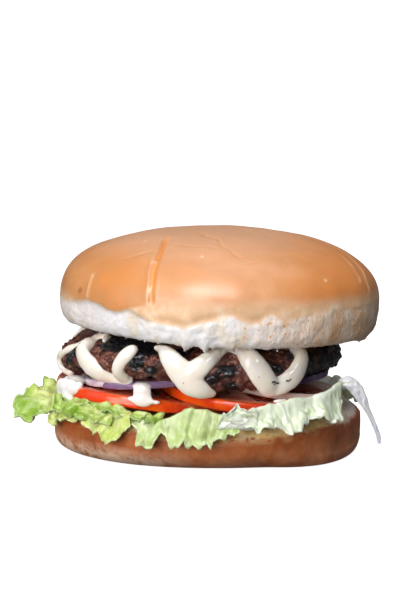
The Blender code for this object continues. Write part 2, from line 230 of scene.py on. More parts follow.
def paint(piece, name, value_at):
    """Keeps a value from 0 to 1 at every vertex, for the material and as a vertex group."""
    values = [min(1.0, max(0.0, value_at(vertex.co / MM))) for vertex in piece.data.vertices]
    attribute = piece.data.attributes.new(name, "FLOAT", "POINT")
    attribute.data.foreach_set("value", values)
    group = piece.vertex_groups.new(name=name + "_weight")
    for index, value in enumerate(values):
        if value > 0.0:
            group.add((index,), value, "REPLACE")


def put_on(piece, material, slot, *nodes):
    """Gives a piece its material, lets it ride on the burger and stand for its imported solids."""
    piece.data.materials.clear()
    piece.data.materials.append(material)
    pick(piece)
    bpy.ops.object.shade_smooth()
    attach(piece, "root")
    if nodes:
        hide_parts(*nodes)


# Materials

def new_material(name):
    material = bpy.data.materials.new(name)
    material.use_nodes = True
    return material


# A colour Mix node's sockets by index, because several of its sockets share a name.
SHARE, UNDER, OVER, MIXED = 0, 6, 7, 2


def add_node(material, kind, inputs=None, stops=None, **settings):
    """Adds a node and gives its outputs; an input is a value or an output, a stop (place, colour)."""
    node = material.node_tree.nodes.new("ShaderNode" + kind)
    for key, value in settings.items():
        setattr(node, key, value)
    for socket, value in (inputs or {}).items():
        if isinstance(value, bpy.types.NodeSocket):
            material.node_tree.links.new(value, node.inputs[socket])
        else:
            node.inputs[socket].default_value = value
    if stops:
        ramp = node.color_ramp
        while len(ramp.elements) < len(stops):
            ramp.elements.new(1.0)
        for element, (place, colour) in zip(ramp.elements, stops):
            element.position = place
            element.color = colour
    return node.outputs


def set_surface(material, **sockets):
    """Sets or links the Principled shader's sockets, named with underscores for spaces."""
    shader = material.node_tree.nodes["Principled BSDF"]
    for name, value in sockets.items():
        socket = shader.inputs[name.replace("_", " ")]
        if isinstance(value, bpy.types.NodeSocket):
            material.node_tree.links.new(value, socket)
        else:
            socket.default_value = value


def per_metre(millimetres):
    """The texture scale whose features are this many millimetres apart."""
    return 1.0 / (millimetres * MM)


# Upper bun

CROWN_CENTRE_X = (crown_low.x + crown_high.x) * 0.5 / MM
CROWN_ARC_RADIUS = 58.0
CROWN_CUT_HEIGHT = 45.0
CROWN_WIDEST_HEIGHT = 54.8
CROWN_CUT_TILT = -0.048
CROWN_CORNER = 5.5

# Height at which the golden crust ends, round the bun: (angle, height).
CRUST_LINE = [
    (0, 57.6), (30, 58.4), (60, 57.4), (90, 58.8), (120, 58.0), (150, 58.8), (180, 57.6), (205, 57.5),
    (215, 58.8), (222, 58.5), (230, 56.6), (238, 58.2), (245, 59.4), (260, 58.8), (270, 58.9), (283, 58.7),
    (298, 58.2), (316, 58.0), (340, 57.0), (360, 57.6),
]
# Height of the puffed upper edge of the torn white crumb under it.
CRUMB_LINE = [
    (0, 55.6), (25, 56.6), (50, 54.6), (75, 56.8), (100, 55.2), (125, 57.2), (150, 55.8), (175, 56.6),
    (205, 57.2), (215, 58.5), (222, 58.2), (230, 56.3), (237, 57.7), (241, 56.0), (246, 54.2), (254, 53.4),
    (258, 52.6), (263, 54.4), (268, 55.5), (274, 56.8), (279, 54.6), (283, 54.3), (287, 56.8), (290, 56.0),
    (292.5, 53.9), (298, 55.8), (307, 56.4), (321, 56.7), (340, 55.6), (360, 55.6),
]
CREASE = [
    (-13.9, -14.0, 79.0), (-14.9, -19.8, 78.4), (-16.1, -32.3, 75.9), (-17.4, -40.0, 73.2),
    (-18.6, -45.3, 70.3), (-18.9, -49.6, 66.4), (-19.2, -52.3, 60.6),
]
# How far along the crease it jogs sideways and nearly closes.
CREASE_JOG = 0.5
WRINKLES = [
    [(-2.5, -6.9, 79.7), (-0.5, -16.0, 79.2), (3.4, -23.1, 78.6), (5.2, -31.0, 77.4), (11.3, -40.7, 74.5)],
    [(-13.0, -26.0, 77.8), (-5.0, -31.0, 77.2), (4.0, -33.5, 76.8)],
    [(-28.0, -33.0, 73.5), (-20.0, -31.0, 75.6)],
    [(14.0, -44.0, 72.5), (24.0, -36.0, 74.0), (36.0, -26.0, 73.6)],
]
FOLDS = [
    [
        (36.0, 6.0, 76.4), (43.5, -1.0, 74.4), (49.8, -7.5, 71.6), (53.8, -13.0, 68.6), (56.5, -19.5, 64.2),
        (58.3, -22.5, 59.0),
    ],
    [(47.5, -13.5, 71.5), (51.5, -19.0, 68.8), (54.0, -25.0, 64.0)],
    [(-40.3, -30.7, 67.3), (-41.3, -33.2, 63.2), (-42.0, -34.2, 60.0)],
]
# Where the torn lower edge hangs down in tatters: (angle, drop, half width in degrees).
TATTERS = [
    (254.3, 0.7, 1.0), (257.2, 1.9, 0.9), (258.9, 0.6, 0.6), (262.9, 0.8, 0.8), (264.5, 2.1, 0.9),
    (267.4, 0.7, 0.8), (272.6, 0.6, 0.9), (274.2, 1.0, 0.8), (276.4, 0.5, 0.6), (287.0, 0.5, 1.4),
    (339.8, 1.2, 1.2), (20.0, 1.4, 1.2), (52.0, 1.0, 1.5), (88.0, 1.5, 1.0), (121.0, 0.9, 1.6),
    (149.0, 1.4, 1.0), (176.0, 0.8, 1.2),
]
# Small marks of the baking: place, size, and whether it is dark.
CRUST_MARKS = [
    ((-45.0, -29.1, 61.7), 1.0, True), ((10.8, -57.6, 57.2), 0.6, True), ((2.4, -54.0, 68.5), 0.45, True),
    ((-22.1, -17.5, 77.7), 0.5, False), ((-1.8, -40.3, 74.8), 0.5, False),
    ((18.2, -12.8, 78.9), 0.5, False), ((41.1, -39.2, 66.7), 0.55, False),
]


def crown_run(angle):
    """Millimetres round the bun's side at an angle."""
    return math.radians(angle) * CROWN_ARC_RADIUS


def lip_share(angle):
    """At the front left the crust stands over the crumb as a lip."""
    return plateau(angle, 200.0, 212.0, 240.0, 250.0)


def crumb_edge(angle):
    """Height of the crumb's upper edge with its small clouds."""
    cloud = abs(ripple(crown_run(angle) / 4.5, 3.0, 1.0)) * 1.6 - 0.4
    return through(CRUMB_LINE, angle)[0] + cloud * (1.0 - 0.6 * lip_share(angle))


def shape_crown(piece, radius):
    """Gives the turned bun its lean, its fuller left shoulder and its lumps."""
    side_height = CROWN_WIDEST_HEIGHT - CROWN_CUT_HEIGHT

    def moved(p):
        out = Vector((p.x - CROWN_CENTRE_X, p.y, 0.0))
        share = min(0.995, out.length / radius)
        angle = angle_of(out.x, out.y)
        height = p.z
        if height > CROWN_WIDEST_HEIGHT:
            power = 2.5 - 0.2 * math.cos(math.radians(angle))
            full = (1.0 - share ** power) ** (1.0 / power)
            plain = (1.0 - share ** 2.5) ** (1.0 / 2.5)
            height = CROWN_WIDEST_HEIGHT + (height - CROWN_WIDEST_HEIGHT) * full / plain
        else:
            height += CROWN_CUT_TILT * out.x * (CROWN_WIDEST_HEIGHT - height) / side_height
        spot = Vector((p.x, p.y, height))
        lump = share * (0.7 * wobble(spot, 21.0, 7.0) + 0.3 * wobble(spot, 9.0, 5.0))
        spot += out.normalized() * lump
        on_top = smooth_step(height, CROWN_WIDEST_HEIGHT, 70.0)
        spot.z += (0.45 * wobble(spot, 19.0, 2.0) + 0.12 * wobble(spot, 6.0, 3.0)) * on_top
        return spot

    sculpt(piece, moved)


def strayed(p):
    """A point moved off its place by a slow wobble, so that a line drawn near it isn't straight."""
    return p + Vector((wobble(p, 6.0, 21.0), wobble(p, 6.0, 22.0), 0.0)) * 1.3


def carve_crown(piece):
    """Cuts the crease, wrinkles and folds, and tears the crumb under the crust."""

    def moved(p):
        out = Vector((p.x - CROWN_CENTRE_X, p.y, 0.0))
        angle = angle_of(out.x, out.y)
        outward = out.normalized() * smooth_step(out.length, 0.0, 60.0)
        normal = (outward + Vector((0, 0, smooth_step(p.z, 55.0, 78.0) * 0.9))).normalized()
        push = 0.0
        if p.y < 0.0 and p.z > CROWN_WIDEST_HEIGHT:
            distance, along = distance_to_line(p, CREASE)
            depth = 1.0 * smooth_step(along, 0.0, 0.2) * (1.0 - 0.7 * bell(along - CREASE_JOG, 0.03))
            push -= depth * bell(distance, 0.75)
            push += 0.22 * bell(distance - 1.6, 0.8) * (1.0 if p.x < -17.0 else 0.4)
            for line in WRINKLES:
                push -= 0.2 * bell(distance_to_line(strayed(p), line)[0], 0.8)
        if p.z > CROWN_WIDEST_HEIGHT:
            for line in FOLDS:
                push += 0.35 * bell(distance_to_line(strayed(p), line)[0], 0.9)
        spot = p + normal * push

        run = crown_run(angle)
        edge = crumb_edge(angle)
        torn = smooth_step(edge - p.z, -0.4, 0.8) * smooth_step(p.z, 44.0, 48.5)
        lip = lip_share(angle)
        valley = bell(p.z - edge - 1.0, 1.3) * (1.0 - lip)
        folds = ripple(run / 3.6, p.z / 11.0, 5.0)
        puffs = 0.5 - abs(ripple(run / 5.0, p.z / 9.0, 9.0)) * 1.6
        soft = 0.9 * ripple(run / 7.0, p.z / 5.0, 11.0)
        soft += 0.4 * ripple(run / 3.0, p.z / 2.6, 12.0)
        streaky = 1.0 - 0.8 * smooth_step(angle, 280.0, 294.0)
        fine = ripple(run / 1.5, p.z / 3.5, 7.0)
        front = 0.35 + 0.65 * plateau(angle, 235.0, 252.0, 300.0, 322.0)
        relief = streaky * (0.5 * folds + 0.55 * puffs + 0.22 * fine) + 0.6 * soft
        push = torn * (0.15 * front * (1.0 - lip) - 1.0 * lip - 0.3 + relief * front)
        push -= (0.15 + 0.3 * streaky) * valley * front
        spot += outward * push

        over_cut = p.z - CROWN_CUT_TILT * out.x
        hem = smooth_step(out.length, 47.0, 52.0) * (1.0 - smooth_step(over_cut, 45.6, 48.6))
        drop = 0.4 * max(0.0, ripple(run / 1.7, 2.0, 2.0)) + 0.3 * folds * streaky
        for tatter_angle, depth, half_width in TATTERS:
            drop += depth * bell(angle - tatter_angle, half_width)
        spot.z -= drop * hem
        return spot

    sculpt(piece, moved)


def crown_material(bun):
    """Soft milk bread, egg-washed and baked: satin golden skin over a matt, torn, nearly white side."""
    material = new_material("egg_washed_milk_bread")
    place = add_node(material, "TexCoord")["Object"]
    position = add_node(material, "SeparateXYZ", {"Vector": place})
    baked, torn, groove, fold, pale_mark, dark_mark = (
        add_node(material, "Attribute", attribute_name=name)["Fac"]
        for name in ("baked", "torn", "groove", "fold", "pale_mark", "dark_mark")
    )

    # The egg wash bakes in soft blotches about 20 mm across, duller and pinker on top, deeper at the right.
    blotch = add_node(
        material, "TexNoise", {"Vector": place, "Scale": per_metre(20.0), "Detail": 5.0, "Roughness": 0.55}
    )["Fac"]
    skin = add_node(
        material, "ValToRGB", {"Fac": blotch},
        stops=[(0.35, bun.crust_light), (0.52, bun.crust), (0.8, bun.crust_deep)],
    )["Color"]
    top = add_node(
        material, "MapRange", {"Value": position["Z"], "From Min": 71.0 * MM, "From Max": 79.0 * MM},
        interpolation_type="SMOOTHSTEP",
    )["Result"]
    right = add_node(
        material, "MapRange",
        {"Value": position["X"], "From Min": 16.0 * MM, "From Max": 50.0 * MM, "To Max": 0.8},
        interpolation_type="SMOOTHSTEP",
    )["Result"]
    for share, colour in (
        (top, bun.crust_top), (right, bun.crust_deep),
        (groove, hex_colour("#F0922E")), (fold, hex_colour("#F6D3AC")),
        (pale_mark, hex_colour("#FFEFE2")), (dark_mark, hex_colour("#8A3A1C")),
    ):
        skin = add_node(material, "Mix", {SHARE: share, UNDER: skin, OVER: colour}, data_type="RGBA")[MIXED]

    # Under the crust comes a tan band, streaked downwards, and then the torn crumb.
    streaked = add_node(material, "Mapping", {"Vector": place, "Scale": (1.0, 1.0, 0.55)})["Vector"]
    streak = add_node(
        material, "TexNoise",
        {"Vector": streaked, "Scale": per_metre(5.0), "Detail": 5.0, "Roughness": 0.55},
    )["Fac"]
    ragged = add_node(
        material, "MapRange",
        {"Value": streak, "From Min": 0.3, "From Max": 0.7, "To Min": -0.1, "To Max": 0.1},
    )["Result"]
    bake = add_node(material, "Math", {0: baked, 1: ragged}, operation="ADD")["Value"]
    full = add_node(
        material, "MapRange", {"Value": bake, "From Min": 0.1, "From Max": 0.95},
        interpolation_type="SMOOTHSTEP",
    )["Result"]
    band = add_node(
        material, "ValToRGB", {"Fac": streak},
        stops=[(0.36, hex_colour("#DDB48A")), (0.5, bun.crust_edge), (0.66, hex_colour("#F0DCC0"))],
    )["Color"]
    upper = add_node(material, "Mix", {SHARE: full, UNDER: band, OVER: skin}, data_type="RGBA")[MIXED]

    cloud = add_node(
        material, "TexNoise", {"Vector": streaked, "Scale": per_metre(6.5), "Detail": 5.0, "Roughness": 0.6}
    )["Fac"]
    white = add_node(
        material, "ValToRGB", {"Fac": cloud},
        stops=[(0.35, hex_colour("#F0E4D2")), (0.5, bun.crumb), (0.66, hex_colour("#FCFAFE"))],
    )["Color"]
    # The side is mixed towards tan at the right and, creamier, at the left end: partly the crumb's own
    # toasting and tint, partly painted shade at both ends of the side.
    toast_and_shade_tint = add_node(
        material, "ValToRGB", {"Fac": cloud},
        stops=[(0.33, hex_colour("#D69E68")), (0.5, hex_colour("#E8BE92")), (0.66, hex_colour("#F0D6BA"))],
    )["Color"]
    right_toast_and_shade = add_node(
        material, "MapRange",
        {"Value": position["X"], "From Min": 8.0 * MM, "From Max": 46.0 * MM, "To Max": 0.9},
    )["Result"]
    tan = add_node(
        material, "MapRange",
        {"Value": position["X"], "From Min": -34.0 * MM, "From Max": -58.0 * MM, "To Max": 0.6},
    )["Result"]
    freckles = add_node(
        material, "TexNoise", {"Vector": place, "Scale": per_metre(1.7), "Detail": 2.0}
    )["Fac"]
    freckles = add_node(
        material, "MapRange", {"Value": freckles, "From Min": 0.61, "From Max": 0.72}
    )["Result"]
    spread = add_node(
        material, "MapRange", {"Value": position["X"], "From Min": -8.0 * MM, "From Max": 26.0 * MM}
    )["Result"]
    freckles = add_node(material, "Math", {0: freckles, 1: spread}, operation="MULTIPLY")["Value"]
    for share, tint in ((right_toast_and_shade, toast_and_shade_tint), (tan, hex_colour("#E0C8AE")), (freckles, hex_colour("#E2A04E"))):
        white = add_node(material, "Mix", {SHARE: share, UNDER: white, OVER: tint}, data_type="RGBA")[MIXED]
    colour = add_node(material, "Mix", {SHARE: torn, UNDER: upper, OVER: white}, data_type="RGBA")[MIXED]

    crust_only = add_node(
        material, "Math", {0: full, 1: torn}, operation="SUBTRACT", use_clamp=True
    )["Value"]
    gloss = add_node(
        material, "MapRange", {"Value": crust_only, "To Min": 0.85, "To Max": bun.crust_roughness}
    )["Result"]
    grain = add_node(material, "TexNoise", {"Vector": place, "Scale": per_metre(0.9), "Detail": 3.0})["Fac"]
    skin_bump = add_node(
        material, "Bump", {"Height": grain, "Strength": 0.5, "Distance": 0.2 * MM}
    )["Normal"]
    pores = add_node(
        material, "TexNoise", {"Vector": streaked, "Scale": per_metre(1.6), "Detail": 6.0, "Roughness": 0.7}
    )["Fac"]
    bump = add_node(
        material, "Bump", {"Height": pores, "Strength": torn, "Distance": 0.7 * MM, "Normal": skin_bump}
    )["Normal"]
    set_surface(
        material, Base_Color=colour, Roughness=gloss, Normal=bump, IOR=1.42,
        Coat_Weight=0.5, Coat_Roughness=0.36,
        Subsurface_Weight=0.15, Subsurface_Radius=(1.0, 0.6, 0.4), Subsurface_Scale=2.5 * MM,
    )
    return material


def make_crown(bun):
    radius = bun.crown_radius / MM
    dome_height = crown_high.z / MM - CROWN_WIDEST_HEIGHT
    side_height = CROWN_WIDEST_HEIGHT - CROWN_CUT_HEIGHT
    profile = [(1.0, CROWN_CUT_HEIGHT), (radius * 0.45, CROWN_CUT_HEIGHT), (radius * 0.8, CROWN_CUT_HEIGHT)]
    for turn in (90, 62, 38, 18, 0):
        inward = CROWN_CORNER * (1.0 - math.cos(math.radians(turn)) ** 0.62)
        drop = side_height * math.sin(math.radians(turn)) ** 0.75
        profile.append((radius - inward, CROWN_WIDEST_HEIGHT - drop))
    for share in (0.985, 0.955, 0.91, 0.85, 0.77, 0.67, 0.55, 0.42, 0.28, 0.14, 0.02):
        profile.append((radius * share, CROWN_WIDEST_HEIGHT + dome_height * (1.0 - share ** 2.5) ** 0.4))
    crown = turned("crown_crust", profile, 62, (CROWN_CENTRE_X, 0.0))
    subdivide(crown, 3)
    shape_crown(crown, radius)

    def baked(p):
        angle = angle_of(p.x - CROWN_CENTRE_X, p.y)
        depth = 7.0 - 5.0 * lip_share(angle)
        line = through(CRUST_LINE, angle)[0]
        return 0.5 + (p.z - line - 0.2 * depth * (1.0 - lip_share(angle))) / depth

    def torn(p):
        angle = angle_of(p.x - CROWN_CENTRE_X, p.y)
        return smooth_step(crumb_edge(angle) - p.z + 0.5 * wobble(p, 2.2, 3.0), -0.5, 0.9)

    def groove(p):
        if p.y > 0.0 or p.z < CROWN_WIDEST_HEIGHT:
            return 0.0
        distance, along = distance_to_line(p, CREASE)
        wrinkle = max(bell(distance_to_line(strayed(p), line)[0], 0.8) for line in WRINKLES)
        crease = bell(distance, 0.75) * smooth_step(along, 0.0, 0.2)
        return max(crease * (1.0 - bell(along - CREASE_JOG, 0.03)), 0.22 * wrinkle)

    def fold(p):
        if p.z < CROWN_WIDEST_HEIGHT:
            return 0.0
        ridge = max(bell(distance_to_line(strayed(p), line)[0], 0.8) for line in FOLDS)
        distance, along = distance_to_line(p + Vector((1.7, 0.0, 0.0)), CREASE)
        lip = bell(distance, 0.6) * max(smooth_step(along, 0.8, 0.92), bell(along - CREASE_JOG, 0.04))
        return max(0.55 * ridge, 0.35 * lip)

    def marks(dark):
        alike = [(Vector(spot), size) for spot, size, is_dark in CRUST_MARKS if is_dark == dark]
        return lambda p: max(bell((p - spot).length, size) for spot, size in alike)

    paint(crown, "baked", baked)
    paint(crown, "torn", torn)
    paint(crown, "groove", groove)
    paint(crown, "fold", fold)
    paint(crown, "pale_mark", marks(False))
    paint(crown, "dark_mark", marks(True))
    carve_crown(crown)
    roughen(crown, "CLOUDS", 1.3, 0.4, where="torn_weight", noise_depth=2)
    put_on(crown, crown_material(bun), "bun_crust", "bun_crown")


# Lower bun

HEEL_HEIGHT = 13.4
HEEL_RADIUS = 56.2
# The plain turned shape, before its foot, side and rim are moved.
HEEL_TURNED_RADIUS = 56.0
HEEL_FOOT_RADIUS = 42.0
HEEL_FLAT_RADIUS = 30.0
HEEL_FOOT_HEIGHT = 9.0
# How far the foot reaches round the bun: (angle, reach).
HEEL_BASE_OUTLINE = [
    (0, 53.0), (35, 48.0), (60, 43.0), (90, 40.0), (120, 42.0), (150, 46.0), (180, 49.5), (205, 46.0),
    (228, 41.5), (250, 37.5), (270, 36.5), (292, 40.5), (314, 51.0), (330, 54.0), (360, 53.0),
]
# The turned rim and cut face, from outside to inside: (reach, rise over the bun's height).
HEEL_RIM = [
    (56.0, -2.6), (56.0, -0.9), (55.5, -0.1), (53.9, 1.1), (51.8, 2.2), (49.5, 2.4), (45.0, 1.4),
    (34.0, 0.9), (18.0, 0.7), (1.0, 0.7),
]


def heel_rim_height(angle):
    """The crust's cut edge stands a little higher at the front left and the right."""
    left_rise = 2.0 * plateau(angle, 188.0, 208.0, 243.0, 270.0)
    right_rise = 0.8 * plateau(angle, 300.0, 316.0, 322.0, 334.0)
    return HEEL_HEIGHT + left_rise + right_rise


def shape_heel(piece):
    """Moves the turned heel to its uneven foot, side and rim."""
    foot = HEEL_FOOT_HEIGHT
    rim_start = HEEL_HEIGHT - 0.7

    def moved(p):
        angle = angle_of(p.x, p.y)
        reach = math.hypot(p.x, p.y)
        side = HEEL_RADIUS - 1.2 * abs(math.sin(math.radians(angle)))
        base = through(HEEL_BASE_OUTLINE, angle)[0]
        height = p.z
        rounding = min(foot, 3.0 + 0.5 * (side - base))
        if height < foot and reach > HEEL_FLAT_RADIUS:
            share = max(0.0, (reach - HEEL_FOOT_RADIUS) / (HEEL_TURNED_RADIUS - HEEL_FOOT_RADIUS))
            reach = base + (side - base) * share
            if share <= 0.0:
                inner = (math.hypot(p.x, p.y) - HEEL_FLAT_RADIUS) / (HEEL_FOOT_RADIUS - HEEL_FLAT_RADIUS)
                reach = HEEL_FLAT_RADIUS + (base - HEEL_FLAT_RADIUS) * inner
            height *= rounding / foot
        elif reach > HEEL_FLAT_RADIUS:
            reach += (side - HEEL_TURNED_RADIUS) * smooth_step(reach, 50.0, HEEL_TURNED_RADIUS)
        lift = heel_rim_height(angle) - HEEL_HEIGHT
        if p.z >= foot:
            up = (p.z - foot) / (rim_start - foot)
            if p.z < rim_start and reach > 50.0:
                height = rounding + (rim_start + lift - rounding) * up
            else:
                height += lift * math.exp(-max(0.0, side - reach) / 9.0)
        spot = polar(reach, angle, height)
        on_side = smooth_step(reach, 40.0, 52.0)
        upright = smooth_step(height, 1.0, 5.0)
        squashed = Vector((spot.x, spot.y, spot.z * 0.4))
        lump = 0.8 * wobble(spot, 24.0, 4.0) + 0.3 * wobble(squashed, 8.0, 6.0)
        lump += 0.12 * wobble(spot, 3.0, 5.0)
        spot += polar(lump * on_side * upright, angle, 0.0)
        return spot

    sculpt(piece, moved)


def heel_material(bun):
    """The bun's underside crust: matt brown from the tray, mottled, with a soft cream cut face."""
    material = new_material("tray_baked_bread")
    place = add_node(material, "TexCoord")["Object"]
    position = add_node(material, "SeparateXYZ", {"Vector": place})
    cut = add_node(material, "Attribute", attribute_name="cut")["Fac"]
    toast = add_node(material, "Attribute", attribute_name="toast")["Fac"]
    stretched = add_node(material, "Mapping", {"Vector": place, "Scale": (1.0, 1.0, 0.7)})["Vector"]
    mottle = add_node(
        material, "TexNoise",
        {"Vector": stretched, "Scale": per_metre(13.0), "Detail": 8.0, "Roughness": 0.68},
    )["Fac"]
    crust = add_node(
        material, "ValToRGB", {"Fac": mottle},
        stops=[(0.34, bun.heel_dark), (0.5, bun.heel_crust), (0.66, bun.heel_light)],
    )["Color"]
    # Pale patches low down, strongest at the left: partly the crust's own pale patches, partly painted light
    # from below.
    low = add_node(
        material, "MapRange", {"Value": position["Z"], "From Min": 9.5 * MM, "From Max": 4.0 * MM}
    )["Result"]
    pale_patch_and_light = add_node(
        material, "TexNoise", {"Vector": place, "Scale": per_metre(6.0), "Detail": 5.0, "Roughness": 0.7}
    )["Fac"]
    pale_patch_and_light = add_node(
        material, "MapRange", {"Value": pale_patch_and_light, "From Min": 0.36, "From Max": 0.56, "To Max": 1.1}
    )["Result"]
    left = add_node(
        material, "MapRange",
        {
            "Value": position["X"], "From Min": -4.0 * MM, "From Max": -34.0 * MM, "To Min": 0.15,
            "To Max": 1.5,
        },
    )["Result"]
    pale_patch_and_light = add_node(material, "Math", {0: pale_patch_and_light, 1: low}, operation="MULTIPLY")["Value"]
    pale_patch_and_light = add_node(material, "Math", {0: pale_patch_and_light, 1: left}, operation="MULTIPLY", use_clamp=True)["Value"]
    crust = add_node(
        material, "Mix", {SHARE: pale_patch_and_light, UNDER: crust, OVER: hex_colour("#F0C6A6")}, data_type="RGBA"
    )[MIXED]
    crumb = add_node(
        material, "TexNoise", {"Vector": place, "Scale": per_metre(3.4), "Detail": 6.0, "Roughness": 0.7}
    )["Fac"]
    face = add_node(
        material, "ValToRGB", {"Fac": crumb},
        stops=[(0.3, hex_colour("#FACB82")), (0.5, bun.cut_face), (0.7, hex_colour("#FFECC6"))],
    )["Color"]
    # Painted light: the cut face is painted paler towards its right end, where the rib shades it.
    pale_end = add_node(
        material, "MapRange",
        {"Value": position["X"], "From Min": 40.0 * MM, "From Max": 52.0 * MM, "To Max": 0.85},
    )["Result"]
    face = add_node(
        material, "Mix", {SHARE: pale_end, UNDER: face, OVER: hex_colour("#FFF4EC")}, data_type="RGBA"
    )[MIXED]
    colour = crust
    for share, layer in ((cut, face), (toast, hex_colour("#B0531C"))):
        colour = add_node(
            material, "Mix", {SHARE: share, UNDER: colour, OVER: layer}, data_type="RGBA"
        )[MIXED]
    gloss = add_node(material, "MapRange", {"Value": cut, "To Min": 0.52, "To Max": 0.9})["Result"]
    grain = add_node(
        material, "TexNoise", {"Vector": stretched, "Scale": per_metre(1.1), "Detail": 4.0}
    )["Fac"]
    bump = add_node(material, "Bump", {"Height": grain, "Strength": 0.35, "Distance": 0.35 * MM})["Normal"]
    pores = add_node(
        material, "Bump", {"Height": crumb, "Strength": cut, "Distance": 0.4 * MM, "Normal": bump}
    )["Normal"]
    set_surface(
        material, Base_Color=colour, Roughness=gloss, Normal=pores,
        Subsurface_Weight=0.08, Subsurface_Radius=(1.0, 0.5, 0.25), Subsurface_Scale=2.0 * MM, IOR=1.45,
    )
    return material


def make_heel(bun):
    profile = [(1.0, 0.0), (HEEL_FLAT_RADIUS, 0.0), (HEEL_FOOT_RADIUS, 0.0)]
    for turn in (30, 55, 75, 90):
        share = math.sin(math.radians(turn)) ** 0.9
        reach = HEEL_FOOT_RADIUS + (HEEL_TURNED_RADIUS - HEEL_FOOT_RADIUS) * share
        profile.append((reach, HEEL_FOOT_HEIGHT * (1.0 - math.cos(math.radians(turn)))))
    profile += [(reach, HEEL_HEIGHT + rise) for reach, rise in HEEL_RIM]
    heel = turned("heel_crust", profile, 52)
    subdivide(heel, 3)
    shape_heel(heel)

    def cut(p):
        angle = angle_of(p.x, p.y)
        rim = heel_rim_height(angle)
        inside = smooth_step(HEEL_RADIUS - math.hypot(p.x, p.y) + 0.5 * wobble(p, 4.0, 2.0), 0.9, 1.9)
        return inside * smooth_step(p.z, rim - 3.0, rim - 1.2)

    def toast(p):
        angle = angle_of(p.x, p.y)
        rim = heel_rim_height(angle)
        depth = HEEL_RADIUS - math.hypot(p.x, p.y) + 0.5 * wobble(p, 4.0, 2.0)
        line = bell(depth - 0.9, 1.0) * smooth_step(p.z, rim - 3.6, rim - 1.4)
        line *= 0.75 + 0.5 * wobble(p, 1.8, 8.0)
        band = 0.85 * bell(p.z - rim + 2.0, 1.5) * (0.8 + 0.5 * wobble(p, 3.0, 8.0))
        band *= 1.0 - smooth_step(depth, 0.8, 2.0)
        specks = 0.7 * smooth_step(wobble(p, 0.9, 8.0), 0.25, 0.5) * bell(depth - 2.0, 1.6)
        return max(line, band) + specks * smooth_step(p.z, 10.0, 12.0)

    paint(heel, "cut", cut)
    paint(heel, "toast", toast)
    roughen(heel, "CLOUDS", 2.2, 0.5, where="cut_weight")
    put_on(heel, heel_material(bun), "bun_base_crust", "bun_heel")


# Patty

PATTY_RADIUS = 51.5
PATTY_CENTRE = (-2.5, 0.0)
PATTY_TOP_HEIGHT = 44.2
PATTY_RIM_LOW = 27.4
PATTY_INNER_LOW = 32.3

# Where the grill charred the patty's side: (angle, height, size). The first six, along the top edge under
# the upper bun, are painted shade of the dark gap there.
CHAR_AND_SHADE_SPOTS = [
    (226, 43.6, 3.0), (233, 44.2, 3.2), (240, 44.6, 2.8), (264, 44.2, 2.6), (298, 43.0, 3.0),
    (306, 42.8, 2.8), (203, 37.0, 4.5), (208, 31.5, 2.5), (236, 41.5, 2.0), (244, 40.0, 4.0),
    (250, 35.5, 3.2), (247, 31.5, 2.2), (262, 43.5, 2.6), (281, 37.0, 3.2), (276, 34.0, 3.0),
    (283, 29.5, 3.0), (302, 37.0, 2.6), (318, 38.0, 6.5), (322, 32.0, 4.0), (332, 36.0, 8.0),
    (346, 36.0, 7.0), (12, 34.0, 7.0), (40, 36.0, 6.0), (75, 34.0, 7.0), (110, 37.0, 6.0), (140, 34.0, 7.0),
    (168, 36.0, 5.0),
]


def patty_rim_low(angle):
    """The patty's lower edge is lifted at the front left and the right, where the onion shows under it."""
    left_lift = 4.9 * plateau(angle, 186.0, 226.0, 256.0, 268.0)
    right_lift = 2.7 * plateau(angle, 306.0, 320.0, 350.0, 359.0)
    return PATTY_RIM_LOW + left_lift + right_lift


def patty_top(x):
    """The top leans with the bun's cut face, and sinks at its left end."""
    sunk = 6.0 * smooth_step(-x, 34.0, 54.0)
    return PATTY_TOP_HEIGHT + CROWN_CUT_TILT * (x - 4.5) - sunk


def patty_top_at(angle):
    return patty_top(PATTY_CENTRE[0] + PATTY_RADIUS * math.cos(math.radians(angle)))


def patty_side(share):
    """The side's reach at a share of its height."""
    return PATTY_RADIUS * (1.0 - 0.15 * abs(2.0 * share - 0.9) ** 3.0)


def patty_spot(angle, height, out=0.0):
    """A point in millimetres on the patty's side, or that far out from it."""
    low = patty_rim_low(angle)
    share = min(1.0, max(0.0, (height - low) / (patty_top_at(angle) - low)))
    return polar(patty_side(share) + out, angle, height, PATTY_CENTRE)


def shape_patty(piece):
    """Lets the turned patty lean, sag at the front and lift its rim over the onion."""
    full_height = PATTY_TOP_HEIGHT - PATTY_RIM_LOW

    def moved(p):
        out = Vector((p.x - PATTY_CENTRE[0], p.y, 0.0))
        angle = angle_of(out.x, out.y)
        low = patty_rim_low(angle)
        share = (p.z - PATTY_RIM_LOW) / full_height
        height = low + (patty_top(p.x) - low) * share
        sag = 1.9 * plateau(angle, 208.0, 220.0, 250.0, 262.0)
        sag += 1.1 * plateau(angle, 250.0, 262.0, 322.0, 340.0)
        height -= sag * smooth_step(out.length, 34.0, 46.0) * share
        if p.z < 36.0:
            outer = smooth_step(out.length, 0.82 * PATTY_RADIUS, 0.9 * PATTY_RADIUS)
            height = p.z + (height - p.z) * outer
        return Vector((p.x, p.y, height))

    sculpt(piece, moved)


